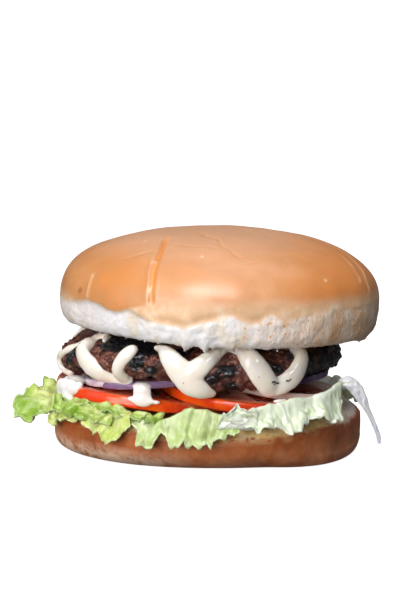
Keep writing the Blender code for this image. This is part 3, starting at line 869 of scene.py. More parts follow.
def beef_material(patty):
    """Coarse minced beef off a charcoal grill: brown grains, wet black charred crust, fat that shines, and
    painted shade under the bun.
    """
    material = new_material("char_grilled_minced_beef")
    place = add_node(material, "TexCoord")["Object"]
    char = add_node(material, "Attribute", attribute_name="char")["Fac"]
    # Mince leaves the grinder in strings about 3 mm thick, which break into grains of half that.
    strings = add_node(
        material, "TexNoise",
        {"Vector": place, "Scale": per_metre(3.0), "Detail": 6.0, "Roughness": 0.72, "Distortion": 0.8},
    )["Fac"]
    grains = add_node(
        material, "TexVoronoi", {"Vector": place, "Scale": per_metre(1.7)}, feature="SMOOTH_F1"
    )["Distance"]
    meat = add_node(
        material, "ValToRGB", {"Fac": strings},
        stops=[
            (0.30, hex_colour("#26120E")), (0.43, patty.beef_dark), (0.52, patty.beef),
            (0.62, patty.beef_light), (0.72, hex_colour("#D2AA92")),
        ],
    )["Color"]
    # The charred-spot attribute also holds painted shade, so the black colour also paints the dark gap under
    # the upper bun.
    scorch = add_node(
        material, "TexNoise", {"Vector": place, "Scale": per_metre(4.5), "Detail": 6.0, "Roughness": 0.65}
    )["Fac"]
    scorch = add_node(material, "Math", {0: scorch, 1: char}, operation="ADD")["Value"]
    burn_and_shade = add_node(material, "MapRange", {"Value": scorch, "From Min": 0.64, "From Max": 0.8})["Result"]
    colour = add_node(
        material, "Mix", {SHARE: burn_and_shade, UNDER: meat, OVER: patty.char}, data_type="RGBA"
    )[MIXED]
    gloss = add_node(material, "MapRange", {"Value": burn_and_shade, "To Min": 0.34, "To Max": 0.28})["Result"]
    lumps = add_node(material, "Bump", {"Height": strings, "Strength": 1.0, "Distance": 1.4 * MM})["Normal"]
    knobs = add_node(
        material, "Bump", {"Height": grains, "Strength": 1.0, "Distance": 1.1 * MM, "Normal": lumps},
        invert=True,
    )["Normal"]
    blisters = add_node(
        material, "TexNoise", {"Vector": place, "Scale": per_metre(1.1), "Detail": 2.0, "Roughness": 0.5}
    )["Fac"]
    bump = add_node(
        material, "Bump", {"Height": blisters, "Strength": 1.0, "Distance": 0.9 * MM, "Normal": knobs}
    )["Normal"]
    film = add_node(
        material, "TexVoronoi", {"Vector": place, "Scale": per_metre(0.85)}, feature="SMOOTH_F1"
    )["Distance"]
    grease = add_node(
        material, "Bump", {"Height": film, "Strength": 1.0, "Distance": 0.45 * MM}, invert=True
    )["Normal"]
    wet = add_node(material, "MapRange", {"Value": burn_and_shade, "To Min": 0.3, "To Max": 0.55})["Result"]
    set_surface(
        material, Base_Color=colour, Roughness=gloss, Normal=bump, IOR=1.3,
        Coat_Weight=wet, Coat_Roughness=0.1, Coat_IOR=1.5, Coat_Normal=grease,
        Coat_Tint=(0.88, 0.93, 1.0, 1.0),
    )
    return material


def make_patty(settings):
    profile = [(1.0, PATTY_INNER_LOW), (23.0, PATTY_INNER_LOW), (42.2, PATTY_INNER_LOW)]
    profile.append((46.3, PATTY_RIM_LOW + 0.5))
    full_height = PATTY_TOP_HEIGHT - PATTY_RIM_LOW
    for share in (0.08, 0.2, 0.35, 0.5, 0.65, 0.8, 0.9):
        profile.append((patty_side(share), PATTY_RIM_LOW + full_height * share))
    profile += [(43.0, PATTY_TOP_HEIGHT - 0.3), (23.0, PATTY_TOP_HEIGHT - 0.1), (1.0, PATTY_TOP_HEIGHT)]
    patty = turned("beef", profile, 60, PATTY_CENTRE)
    subdivide(patty, 3)
    shape_patty(patty)

    sector = 6
    covers = {}
    for spot, half_width in sauce_spots():
        part = int(angle_of(spot.x - PATTY_CENTRE[0], spot.y) // sector)
        covers.setdefault(part, []).append((spot, half_width))

    def side(p):
        """How rough the meat is: only at its side, and calmer under the sauce and at its edge."""
        part = int(angle_of(p.x - PATTY_CENTRE[0], p.y) // sector)
        rough = smooth_step(math.hypot(p.x - PATTY_CENTRE[0], p.y), 40.0, 46.0)
        if rough == 0.0:
            return 0.0
        cover = 0.0
        for step in (-1, 0, 1):
            for spot, half_width in covers.get((part + step) % (360 // sector), ()):
                cover = max(cover, smooth_step(half_width + 1.2 - (p - spot).length, 0.0, 1.4))
        return rough * (1.0 - 0.9 * cover)

    burns_and_shade = [(patty_spot(angle, height), size) for angle, height, size in CHAR_AND_SHADE_SPOTS]

    # Charred spots, and painted shade: the first six spots and a band along the top edge at the front left
    # darken the gap under the upper bun.
    def char(p):
        angle = angle_of(p.x - PATTY_CENTRE[0], p.y)
        strongest = max(bell((p - spot).length, 1.15 * size) for spot, size in burns_and_shade)
        # Painted shade: the top edge at the front left, in the dark gap under the upper bun.
        gap = plateau(angle, 214.0, 224.0, 246.0, 258.0) * smooth_step(p.z, 40.8, 42.6)
        return 0.5 * max(strongest, gap)

    paint(patty, "side", side)
    paint(patty, "char", char)
    roughen(patty, "CLOUDS", 7.0, 2.6, 0.62, where="side_weight")
    roughen(patty, "VORONOI", 2.6, -1.6, 0.35, where="side_weight")
    roughen(patty, "CLOUDS", 1.8, 1.0, 0.5, where="side_weight", noise_depth=1)
    put_on(patty, beef_material(settings), "grilled_beef", "patty")


# Sauce

# Thick runs on the patty's side: (angle, height, half width) from one end to the other.
SAUCE_RUNS = {
    "left_fall": [
        (210.5, 43.4, 2.0), (213, 41.6, 2.9), (216.4, 39.2, 3.3), (220.4, 36.6, 3.5), (224.6, 34.0, 3.4),
        (229.2, 32.3, 3.0), (233.4, 31.2, 2.7), (236.8, 30.8, 2.2),
    ],
    "left_rise": [
        (236.8, 30.8, 2.2), (236.4, 32.8, 2.4), (236.0, 35.0, 2.4), (237.0, 37.4, 2.4), (239.0, 39.9, 2.4),
        (240.8, 41.7, 2.3), (242, 43.0, 1.8),
    ],
    "middle_fall": [
        (251, 43.8, 1.0), (254, 43.4, 1.7), (257, 42.0, 2.9), (260, 39.4, 3.8), (263, 36.2, 4.3),
        (266, 33.0, 4.3), (269, 30.8, 3.5), (273, 29.0, 2.2), (275.5, 28.2, 1.3),
    ],
    "middle_rise": [
        (265, 34.2, 3.7), (269, 37.4, 3.6), (273, 40.2, 3.0), (277, 42.2, 2.4), (281, 43.2, 1.6),
    ],
    "top_smear": [(279, 43.0, 1.2), (283, 43.4, 1.5), (287, 42.8, 2.0)],
    "right_fall": [
        (289, 42.6, 2.6), (290.4, 40.0, 3.7), (293, 36.4, 4.1), (295.6, 32.9, 4.1), (298.4, 30.0, 3.6),
        (301, 28.8, 2.6),
    ],
    "right_rise": [
        (299, 29.6, 3.2), (305, 30.8, 3.6), (309.6, 33.5, 3.6), (312.4, 36.7, 3.3), (315, 39.6, 2.8),
        (316.6, 41.8, 2.2),
    ],
    "left_smear": [(213, 43.6, 1.6), (217, 44.0, 1.7), (221.5, 43.8, 1.0)],
    "left_coat": [
        (212, 43.6, 2.0), (208, 42.6, 2.0), (203, 40.2, 1.7), (197, 37.4, 1.5), (191, 34.6, 1.4),
        (190, 32.4, 1.2), (194, 30.6, 1.3), (199, 29.8, 1.5),
    ],
}
BACK_ZIGZAG = {
    "first": 378.0, "last": 520.0, "step": 11.0, "below_top": 4.2, "low": 31.0, "half_width": 2.3,
}
SAUCE_THICKNESS = 1.75
# Each drop on the tomato: its place, the way it faces, and its lumps, each of them (sideways, out, up,
# half width, half height, thickness).
SAUCE_DROPS = [
    ((-49.0, -27.0, 26.0), 222.0, [
        (-1.0, -4.0, 3.0, 5.0, 1.2, 4.0), (1.5, -2.2, 2.4, 3.4, 1.0, 2.6), (-3.6, 0.2, 0.6, 2.6, 3.0, 1.8),
        (-1.0, 0.4, 0.8, 3.8, 3.2, 2.0), (1.8, 0.3, 0.9, 3.4, 3.0, 2.0), (-4.4, 0.4, -1.6, 1.6, 2.0, 1.2),
        (0.2, 0.8, -1.9, 3.0, 2.0, 1.5), (1.6, 0.9, -3.0, 1.9, 1.2, 1.1), (4.2, -0.2, 0.8, 1.8, 2.4, 1.6),
        (5.4, -0.8, 2.0, 1.2, 1.4, 1.2),
    ]),
    ((-22.4, -42.2, 26.2), 264.0, [
        (-0.4, -3.4, 3.8, 3.8, 0.9, 3.2), (-0.3, -1.0, 3.4, 3.6, 1.6, 1.9), (-0.2, 0.0, 1.6, 3.4, 2.6, 1.7),
        (-0.1, 0.3, -0.4, 3.6, 2.0, 1.6), (0.2, 0.6, -1.6, 4.2, 1.6, 1.4), (-3.8, 0.3, -0.9, 1.8, 1.0, 1.0),
        (4.6, 0.2, -2.0, 1.7, 0.8, 0.9), (0.2, 0.7, -2.7, 2.8, 0.9, 1.1),
    ]),
    ((25.0, -45.4, 25.2), 299.0, [(0.0, 0.0, 0.0, 2.6, 0.7, 1.4), (1.8, -0.3, 0.1, 1.6, 0.5, 1.0)]),
]


def back_run():
    """The sauce goes on round the back in the same zigzag."""
    draw = random.Random(5)
    stations = []
    angle = BACK_ZIGZAG["first"]
    high = True
    while angle < BACK_ZIGZAG["last"]:
        height = patty_top_at(angle) - BACK_ZIGZAG["below_top"]
        if not high:
            height = BACK_ZIGZAG["low"] + draw.uniform(0.0, 3.0)
        stations.append((angle, height, BACK_ZIGZAG["half_width"] + draw.uniform(-0.4, 0.5)))
        angle += BACK_ZIGZAG["step"] + draw.uniform(-1.5, 1.5)
        high = not high
    return stations


def along_runs(steps):
    """Each run's (step, angle, height, half width), with that many steps from station to station."""
    for stations in [*SAUCE_RUNS.values(), back_run()]:
        numbered = [(float(i), *station) for i, station in enumerate(stations)]
        for k in range(steps * (len(stations) - 1) + 1):
            yield (k, *through(numbered, k / steps))


def sauce_spots():
    """Points in millimetres along the middle of the runs, each with the run's half width there."""
    return [(patty_spot(angle, height), half_width) for _, angle, height, half_width in along_runs(4)]


def blob_matrix(place, outward, wide, high, thick):
    """Places a unit ball: thick along outward, high along the vertical part and wide across."""
    out = outward.normalized()
    across = Vector((0, 0, 1)).cross(out).normalized()
    upward = out.cross(across)
    turn = Matrix((across, out, upward)).transposed().to_4x4()
    return Matrix.Translation(place * MM) @ turn @ Matrix.Diagonal((wide * MM, thick * MM, high * MM, 1.0))


def melt_together(name, matrices, voxel, smoothing):
    """One ball of sauce is made and copied along the runs, and the copies are melted into one skin."""
    clear_selection()
    bpy.ops.mesh.primitive_uv_sphere_add(segments=14, ring_count=8, radius=1.0)
    piece = join_copies(name, matrices, lambda ball, matrix: ball.transform(matrix))
    apply_modifier(piece, "REMESH", mode="VOXEL", voxel_size=voxel * MM)
    apply_modifier(piece, "SMOOTH", factor=0.5, iterations=smoothing)
    return piece


def sauce_material(name, colour, glow):
    """Mayonnaise with a little mustard: thick, opaque, wet and faintly see-through at its thin edges."""
    material = new_material(name)
    place = add_node(material, "TexCoord")["Object"]
    cloud = add_node(material, "TexNoise", {"Vector": place, "Scale": per_metre(6.0), "Detail": 3.0})["Fac"]
    shade = add_node(material, "ValToRGB", {"Fac": cloud}, stops=[(0.35, glow), (0.62, colour)])["Color"]
    dust = add_node(material, "TexVoronoi", {"Vector": place, "Scale": per_metre(3.1)})["Distance"]
    dust = add_node(
        material, "MapRange", {"Value": dust, "From Min": 0.06, "From Max": 0.045, "To Max": 0.55}
    )["Result"]
    shade = add_node(
        material, "Mix", {SHARE: dust, UNDER: shade, OVER: hex_colour("#A97B52")}, data_type="RGBA"
    )[MIXED]
    film = add_node(material, "TexNoise", {"Vector": place, "Scale": per_metre(2.4), "Detail": 2.0})["Fac"]
    bump = add_node(material, "Bump", {"Height": film, "Strength": 0.15, "Distance": 0.3 * MM})["Normal"]
    set_surface(
        material, Base_Color=shade, Roughness=0.11, Normal=bump, IOR=1.47,
        Subsurface_Weight=0.25, Subsurface_Radius=(1.0, 0.75, 0.5), Subsurface_Scale=1.6 * MM,
    )
    return material


def make_sauce(sauce):
    """The zigzag on the patty, and two drops on the left slice and a smear on the right one."""
    runs = []
    for k, angle, height, half_width in along_runs(7):
        size = half_width * (1.0 + 0.12 * math.sin(1.9 * k + angle))
        thick = sauce.thickness / MM * min(1.15, 0.5 + 0.2 * half_width)
        runs.append(blob_matrix(patty_spot(angle, height, 0.3), polar(1.0, angle, 0.0), size, size, thick))
    zigzag = melt_together("cream_sauce", runs, 0.45, 22)
    put_on(zigzag, sauce_material("mustard_mayonnaise", sauce.colour, sauce.shade), "grilled_beef", "patty")

    drops = []
    for place, outward_angle, parts in SAUCE_DROPS:
        outward = polar(1.0, outward_angle, 0.0)
        across = Vector((0, 0, 1)).cross(outward)
        for sideways, out, up, wide, high, thick in parts:
            spot = Vector(place) + across * sideways + outward * out + Vector((0, 0, up))
            drops.append(blob_matrix(spot, outward, wide, high, thick))
    plain = sauce_material("plain_mayonnaise", hex_colour("#FFFBF7"), hex_colour("#F8EDEA"))
    put_on(melt_together("sauce_drops", drops, 0.4, 8), plain, "tomato")


# Tomato and onion

TOMATOES = {
    "tomato_left": {"centre": (-22.5, -9.0), "radius": 33.0},
    "tomato_right": {"centre": (14.0, -18.8), "radius": 30.2},
}
TOMATO_THICKNESS = 4.1
ONIONS = {
    "onion_left": {"centre": (-29.0, -19.0), "radius": 16.5},
    "onion_right": {"centre": (26.5, -12.5), "radius": 17.2},
}
ONION_THICKNESS = 2.6
# Rings that slipped forward out of the slices: centre, radius, what they lie on, how high over it.
SLIPPED_RINGS = {
    "onion_left_ring": ((-20.5, -21.3), 19.4, "onion_left", 1.1),
    "onion_right_ring": ((27.0, -17.5), 18.2, "tomato_right", 5.4),
}


def slice_low(name, x):
    """The height of a slice's underside."""
    if name == "tomato_left":
        return 27.4 - TOMATO_THICKNESS - 0.08 * (x + 54.0) - 0.002 * max(0.0, x + 25.0) ** 2
    if name == "tomato_right":
        return 22.0 - 0.105 * (x - 5.0)
    if name == "onion_left":
        return 26.97 + 0.064 * (x + 47.0)
    return 26.7 + 0.09 * max(0.0, x - 24.0)


def lay_slice(piece, name, centre, radius):
    """Lets a turned slice follow what it lies on, with a slightly uneven outline."""

    def moved(p):
        out = Vector((p.x - centre[0], p.y - centre[1], 0.0))
        share = out.length / radius
        angle = angle_of(out.x, out.y)
        uneven = 1.0 + 0.025 * math.sin(math.radians(3.0 * angle + 40.0 * share))
        spot = Vector((centre[0], centre[1], p.z)) + out * uneven
        slant = 0.9 if name == "tomato_left" else 0.1
        spot -= out.normalized() * slant * share ** 8 * p.z / TOMATO_THICKNESS
        if name == "tomato_left":
            spot.z += 0.8 * smooth_step(-spot.x, 14.0, 30.0) * (1.0 - p.z / TOMATO_THICKNESS)
            spot.z += 0.9 * plateau(-spot.x, 8.0, 22.0, 40.0, 50.0) * p.z / TOMATO_THICKNESS
        spot.z += slice_low(name, spot.x) + 0.12 * wobble(spot, 6.0, 3.0)
        return spot

    sculpt(piece, moved)


def tomato_material(salad, centre):
    """Ripe beef tomato cut across: wet skin and walls, seed pockets of jelly."""
    material = new_material("sliced_ripe_tomato")
    place = add_node(material, "TexCoord")["Object"]
    middle = (-centre[0] * MM, -centre[1] * MM, 0.0)
    centred = add_node(material, "Mapping", {"Vector": place, "Location": middle})["Vector"]
    face = add_node(material, "Attribute", attribute_name="face")["Fac"]
    pocket = add_node(material, "Attribute", attribute_name="pocket")["Fac"]
    streaks = add_node(
        material, "TexNoise", {"Vector": centred, "Scale": per_metre(7.0), "Detail": 5.0, "Roughness": 0.6}
    )["Fac"]
    skin = add_node(
        material, "ValToRGB", {"Fac": streaks},
        stops=[(0.32, salad.tomato_deep), (0.5, salad.tomato), (0.68, hex_colour("#FF7A0E"))],
    )["Color"]
    along = add_node(material, "SeparateXYZ", {"Vector": place})["X"]
    redder = add_node(
        material, "MapRange", {"Value": along, "From Min": -6.0 * MM, "From Max": 8.0 * MM, "To Max": 0.85}
    )["Result"]
    rosy = add_node(
        material, "MapRange",
        {"Value": along, "From Min": -22.0 * MM, "From Max": -40.0 * MM, "To Max": 0.75},
    )["Result"]
    for share, red in ((redder, hex_colour("#CC3410")), (rosy, hex_colour("#E23A1A"))):
        skin = add_node(material, "Mix", {SHARE: share, UNDER: skin, OVER: red}, data_type="RGBA")[MIXED]
    flesh = add_node(
        material, "ValToRGB", {"Fac": streaks},
        stops=[(0.35, hex_colour("#D8472B")), (0.65, hex_colour("#EC8A66"))],
    )["Color"]
    seeds = add_node(material, "TexVoronoi", {"Vector": centred, "Scale": per_metre(3.4)})["Distance"]
    jelly = add_node(
        material, "ValToRGB", {"Fac": seeds},
        stops=[(0.22, hex_colour("#E9C889")), (0.32, hex_colour("#C7481A")), (0.8, hex_colour("#B03416"))],
    )["Color"]
    flesh = add_node(material, "Mix", {SHARE: pocket, UNDER: flesh, OVER: jelly}, data_type="RGBA")[MIXED]
    colour = add_node(material, "Mix", {SHARE: face, UNDER: skin, OVER: flesh}, data_type="RGBA")[MIXED]
    film = add_node(material, "TexNoise", {"Vector": place, "Scale": per_metre(2.0), "Detail": 4.0})["Fac"]
    bump = add_node(material, "Bump", {"Height": film, "Strength": 0.3, "Distance": 0.3 * MM})["Normal"]
    set_surface(
        material, Base_Color=colour, Roughness=0.16, Normal=bump, IOR=1.42,
        Subsurface_Weight=0.15, Subsurface_Radius=(1.0, 0.25, 0.1), Subsurface_Scale=2.0 * MM,
    )
    return material


def make_tomato(name, salad):
    """One slice: rounded skin, and a face with five seed pockets sunk between its walls."""
    centre, radius = TOMATOES[name]["centre"], TOMATOES[name]["radius"]
    thick = TOMATO_THICKNESS
    under = [(1.0, 0.15), (radius * 0.5, 0.15), (radius * 0.85, 0.1), (radius - 0.5, 0.0), (radius, 0.5)]
    over = [(reach, thick - height) for reach, height in reversed(under)]
    profile = [*under, (radius + 0.1, thick * 0.5), *over]
    piece = turned(name + "_slice", profile, 48, centre)
    subdivide(piece, 3)
    pockets = 5.0

    def pocket_at(p):
        out = Vector((p.x - centre[0], p.y - centre[1], 0.0))
        share = out.length / radius
        wave = math.cos(math.radians(pockets * angle_of(out.x, out.y) + 30.0 * math.sin(6.0 * share)))
        return smooth_step(wave, 0.0, 0.5) * plateau(share, 0.28, 0.4, 0.76, 0.86)

    def sunk(p):
        side = 1.0 if p.z > thick * 0.5 else -1.0
        return p - Vector((0, 0, 0.5 * side * pocket_at(p)))

    sculpt(piece, sunk)
    lay_slice(piece, name, centre, radius)

    def face(p):
        return smooth_step(radius - math.hypot(p.x - centre[0], p.y - centre[1]), 0.7, 1.6)

    paint(piece, "face", face)
    paint(piece, "pocket", pocket_at)
    put_on(piece, tomato_material(salad, centre), "tomato", name)


def onion_material(skin, flesh_dark, flesh_light):
    """Raw red onion: wet, half clear rings, each with a purple skin on its outside."""
    material = new_material("sliced_red_onion")
    place = add_node(material, "TexCoord")["Object"]
    ring = add_node(material, "Attribute", attribute_name="ring")["Fac"]
    streaks = add_node(
        material, "TexNoise", {"Vector": place, "Scale": per_metre(3.0), "Detail": 4.0}
    )["Fac"]
    flesh = add_node(
        material, "ValToRGB", {"Fac": streaks}, stops=[(0.35, flesh_dark), (0.62, flesh_light)]
    )["Color"]
    colour = add_node(material, "Mix", {SHARE: ring, UNDER: flesh, OVER: skin}, data_type="RGBA")[MIXED]
    bump = add_node(material, "Bump", {"Height": streaks, "Strength": 0.25, "Distance": 0.3 * MM})["Normal"]
    set_surface(
        material, Base_Color=colour, Roughness=0.18, Normal=bump, IOR=1.4,
        Subsurface_Weight=0.25, Subsurface_Radius=(1.0, 0.7, 0.9), Subsurface_Scale=1.5 * MM,
    )
    return material


def make_onion(name, skin, flesh_dark, flesh_light):
    """One slice: concentric rings with a groove between them."""
    centre, radius = ONIONS[name]["centre"], ONIONS[name]["radius"]
    gaps = (0.24, 0.44, 0.63, 0.82)
    thick = ONION_THICKNESS
    faces = [(0.05, 0.0)]
    for gap in gaps:
        faces += [(gap - 0.035, 0.0), (gap, 0.8), (gap + 0.035, 0.0)]
    profile = [(radius * share, sink) for share, sink in faces]
    profile += [(radius - 0.5, 0.0), (radius, 0.5), (radius, thick - 0.5), (radius - 0.5, thick)]
    profile += [(radius * share, thick - sink) for share, sink in reversed(faces)]
    piece = turned(name + "_slice", profile, 40, centre)
    subdivide(piece, 2)
    lay_slice(piece, name, centre, radius)

    def ring(p):
        share = math.hypot(p.x - centre[0], p.y - centre[1]) / radius
        nearest = min(abs(share - gap) for gap in (*gaps, 1.0))
        pale_end = 1.0 - 0.85 * smooth_step(-p.x, 31.0, 37.0)
        return bell(nearest, 0.05) * pale_end

    paint(piece, "ring", ring)
    put_on(piece, onion_material(skin, flesh_dark, flesh_light), "red_onion", name)


def make_slipped_ring(name, material):
    """One ring on its own, oval across, with the purple skin on its outside."""
    centre, radius, under, lift = SLIPPED_RINGS[name]
    clear_selection()
    bpy.ops.mesh.primitive_torus_add(
        major_segments=120, minor_segments=16, major_radius=radius * MM, minor_radius=1.05 * MM
    )
    piece = finish_shape(name)

    def laid(p):
        spot = Vector((p.x + centre[0], p.y + centre[1], 1.25 * p.z))
        spot.z += slice_low(under, spot.x) + lift + 0.25 * wobble(spot, 8.0, 4.0)
        return spot

    def ring(p):
        return smooth_step(math.hypot(p.x, p.y) + 0.6 * wobble(p, 5.0, 2.0), radius - 0.2, radius + 0.8)

    paint(piece, "ring", ring)
    sculpt(piece, laid)
    put_on(piece, material, "red_onion")


def make_onions(salad):
    make_onion("onion_left", salad.onion_skin, hex_colour("#DCC6D2"), hex_colour("#F6EEF2"))
    lilac = onion_material(hex_colour("#8C7098"), hex_colour("#A890B0"), hex_colour("#EADFEC"))
    make_slipped_ring("onion_left_ring", lilac)
    beige = onion_material(hex_colour("#DCC4B8"), hex_colour("#E4D0C2"), hex_colour("#F8EEE4"))
    make_slipped_ring("onion_right_ring", beige)
    make_onion("onion_right", hex_colour("#42265A"), hex_colour("#6E5684"), hex_colour("#A692B4"))


# Lettuce

LEAF_ROOT = (36.0, 14.9)
LEAF_KNEE = (49.5, 16.6)
LEAF_ARC_RADIUS = 60.0
LEAF_THICKNESS = 0.5
# How many rows of faces a leaf's grid and the rib's have from root to hem.
LEAF_ROWS = 44
RIB_ROWS = 110

# Each leaf has a crest, where it bends over, and a jagged hem, both as (angle, reach, height). An exact leaf
# follows its hem as it is, and the others are torn in from a whole edge.
LEAVES = {
    "lettuce_far_left": {
        "crest": [(172, 57, 22.6), (180, 60, 20.4), (188, 60, 18.2), (196, 57.5, 17.4)],
        "hem": [
            (172, 60.0, 23.4), (174, 61.0, 23.4), (175, 60.8, 21.6), (177, 63.2, 21.8), (179, 65.4, 21.2),
            (180, 66.6, 20.6), (181.5, 67.2, 19.2), (183.5, 70.2, 17.8), (185, 71.4, 16.0),
            (186.5, 70.6, 14.8), (188, 71.2, 12.8), (189.2, 69.0, 13.4), (190.4, 67.6, 11.8),
            (192, 65.4, 11.4), (193.2, 64.4, 13.0), (194.6, 62.2, 12.8), (196, 60.0, 15.4),
        ],
        "tone": "fresh", "seed": 1.0, "frill": 1.3, "length": 6.5, "rough": 0.8, "exact": True,
        "ruffle": 1.6,
    },
    "lettuce_front_left": {
        "crest": [
            (197, 56, 19.6), (204, 56.5, 20.2), (211, 56, 20.0), (218, 55.5, 20.4), (226, 56, 20.4),
            (234, 56, 20.6), (242.5, 56, 20.6),
        ],
        "hem": [
            (197, 59, 15.0), (199.5, 60.5, 12.6), (202.5, 60.5, 12.2), (205, 60.5, 14.0),
            (207.6, 60.5, 15.8), (213.5, 60.5, 15.6), (219.1, 60.5, 16.6), (221.8, 60, 18.6),
            (223.4, 60.5, 16.6), (225.8, 60.5, 16.0), (227.5, 60.5, 15.6), (228.9, 60.8, 13.6),
            (230.9, 60.5, 15.2), (232.6, 61, 12.4), (234.2, 61, 12.2), (235.5, 61.2, 10.4),
            (237.2, 61, 12.8), (239.0, 61, 12.9), (239.9, 60.5, 15.6), (241.4, 60.5, 17.4),
            (242.5, 60, 19.2),
        ],
        "tone": "yellow", "seed": 2.0, "frill": 0.9, "length": 9.0, "rough": 0.5,
    },
    "lettuce_front": {
        "crest": [
            (243, 55, 20.0), (248, 55.5, 19.6), (254, 56, 20.4), (260, 56, 22.6), (265, 56, 24.2),
            (270, 56, 24.0), (275, 56, 22.4), (281, 55.5, 19.8),
        ],
        "hem": [
            (243.0, 60, 19.4), (245.2, 60.5, 18.4), (246.0, 60.8, 14.9), (246.7, 61.2, 10.9),
            (248.7, 61, 12.0), (250.2, 61, 10.9), (251.7, 61, 11.4), (253.2, 60.8, 14.7),
            (253.9, 60.5, 17.4), (255.9, 60.5, 16.2), (257.2, 60.8, 14.0), (258.1, 61, 11.2),
            (259.4, 61, 12.6), (260.9, 61, 11.8), (262.2, 60.8, 15.0), (263.4, 61, 11.8), (265.4, 61, 13.8),
            (267.0, 61, 11.2), (268.6, 61, 13.2), (270.2, 61, 13.6), (271.2, 61.2, 11.4), (271.9, 61, 14.6),
            (273.8, 60.8, 15.6), (275.7, 60.8, 15.0), (276.7, 60.5, 17.4), (278.6, 60.5, 16.6),
            (279.6, 60.5, 17.9), (281.0, 60, 18.2),
        ],
        "tone": "lime", "seed": 3.0, "frill": 0.7, "length": 15.0, "rough": 0.5, "ruffle": 1.8,
    },
    "lettuce_front_right": {
        "crest": [
            (283, 54.5, 20.4), (286, 54.5, 22.4), (290, 54.5, 24.0), (296, 54.5, 25.2), (303, 54.5, 25.8),
            (309, 55, 26.0), (315, 56.5, 26.6), (320, 57, 28.4), (325, 57, 29.6),
        ],
        "hem": [
            (283.0, 60, 19.4), (285.3, 60.5, 19.6), (286.3, 60.8, 17.0), (287.3, 61, 16.4),
            (288.3, 60.5, 18.8), (290.8, 60.5, 18.4), (293.6, 60.5, 18.9), (295.8, 60.5, 17.8),
            (297.0, 61, 15.4), (298.6, 61.2, 14.6), (299.5, 60.8, 16.4), (302.3, 61, 15.8),
            (303.5, 60.5, 18.9), (305.9, 60.5, 18.4), (306.9, 60.5, 20.6), (310.2, 60.5, 19.4),
            (312.4, 60.8, 20.4), (314.0, 61, 18.4), (316.2, 61.2, 16.2), (318.0, 60.8, 18.0),
            (320.8, 61, 16.4), (321.6, 60.5, 20.4), (323.2, 60, 21.8), (325.0, 60, 25.0),
        ],
        "tone": "pale", "seed": 4.0, "frill": 0.45, "length": 15.0, "rough": 0.45,
    },
    "lettuce_back_right": {
        "sweep": (18.0, 58.0), "tone": "pale", "seed": 6.0, "frill": 1.2, "length": 9.0, "rough": 0.5,
    },
    "lettuce_back": {
        "sweep": (61.0, 108.0), "tone": "lime", "seed": 7.0, "frill": 1.2, "length": 10.0, "rough": 0.5,
    },
    "lettuce_back_left": {
        "sweep": (111.0, 168.0), "tone": "yellow", "seed": 8.0, "frill": 1.3, "length": 9.0, "rough": 0.5,
    },
}
# Frills of the leaves above: curls between the tomato and the hem, and a pointed edge that stands up.
FRILLS = {
    "leaf_left_curls": {
        "crest": [
            (196, 54.5, 21.4), (206, 54, 22.6), (216, 53.5, 23.0), (228, 53.5, 22.6), (240, 54, 21.8),
            (254, 55, 21.0),
        ],
        "hem": [
            (196, 57, 20.0), (206, 57.5, 20.6), (216, 57.5, 21.4), (228, 57.5, 20.6), (240, 57.5, 19.8),
            (254, 57.5, 18.6),
        ],
        "tone": "fresh", "seed": 11.0, "frill": 2.0, "length": 8.5, "curl": 0.6, "rough": 0.9,
        "exact": True, "ruffle": 2.2, "root": (46.0, 15.2), "knee": (50.0, 17.4),
    },
    "leaf_left_tips": {
        "crest": [
            (198, 57.5, 21.6), (204, 58, 22.8), (212, 58, 21.8), (220, 57.5, 22.2), (228, 57.5, 21.4),
            (235, 57.5, 20.0),
        ],
        "hem": [
            (198, 60, 17.4), (200.5, 60.5, 16.2), (204, 60.5, 19.0), (208, 60.5, 17.6), (212, 60.5, 19.6),
            (216, 60.5, 17.8), (219, 60.5, 19.8), (222, 60.5, 17.6), (226, 60, 19.0), (229, 60.5, 17.2),
            (232, 60, 18.8), (235, 59.5, 18.4),
        ],
        "tone": "fresh", "seed": 12.0, "frill": 1.5, "length": 9.0, "curl": 0.6, "rough": 0.7,
        "ruffle": 1.8, "root": (48.0, 16.4), "knee": (53.0, 18.6),
    },
    "leaf_back_curls": {
        "crest": [
            (60, 54.5, 22.0), (70, 54.5, 23.2), (84, 54.5, 22.4), (105, 54.5, 23.4), (135, 54.5, 22.6),
            (167, 55, 22.4),
        ],
        "hem": [
            (60, 57.5, 20.2), (70, 57.5, 21.2), (84, 57.5, 20.2), (105, 57.5, 21.2), (135, 57.5, 20.0),
            (167, 57.5, 20.6),
        ],
        "tone": "fresh", "seed": 15.0, "frill": 2.0, "length": 8.5, "curl": 0.6, "rough": 0.9,
        "exact": True, "ruffle": 2.2, "root": (46.0, 15.2), "knee": (50.0, 17.4),
    },
    "leaf_right_point": {
        "crest": [(273.5, 58.5, 18.6), (276, 58.7, 20.8), (280, 59, 21.4), (287, 58, 21.8)],
        "hem": [
            (273.5, 59.5, 19.4), (274.4, 59.5, 21.6), (275.4, 59.5, 24.0), (276.4, 59.5, 23.6),
            (277.8, 59.5, 24.8), (279.2, 59.3, 25.4), (280.2, 59, 27.0), (281.0, 59.5, 24.8),
            (282.0, 59.5, 25.0), (283.3, 59.5, 24.2), (284.6, 59.3, 24.4), (285.7, 59, 25.2),
            (287.0, 59, 22.6),
        ],
        "tone": "pale", "seed": 13.0, "frill": 0.6, "length": 7.0, "rough": 0.3, "exact": True,
        "ruffle": 0.6, "root": (57.0, 17.0), "knee": (58.6, 18.6),
    },
}
# The wilted rib at the right: (place along it, x, y, z, half width), from its fold to its tail.
RIB = [
    (0.0, 46.5, -31.0, 28.6, 1.2), (0.15, 49.8, -31.5, 29.4, 2.2), (0.3, 52.6, -30.8, 26.8, 2.2),
    (0.45, 54.9, -29.6, 22.8, 1.7), (0.6, 56.9, -28.4, 18.6, 1.0), (0.75, 59.2, -27.2, 13.8, 0.8),
    (0.9, 61.0, -26.2, 8.8, 0.75), (1.0, 61.5, -25.8, 6.0, 0.45),
]


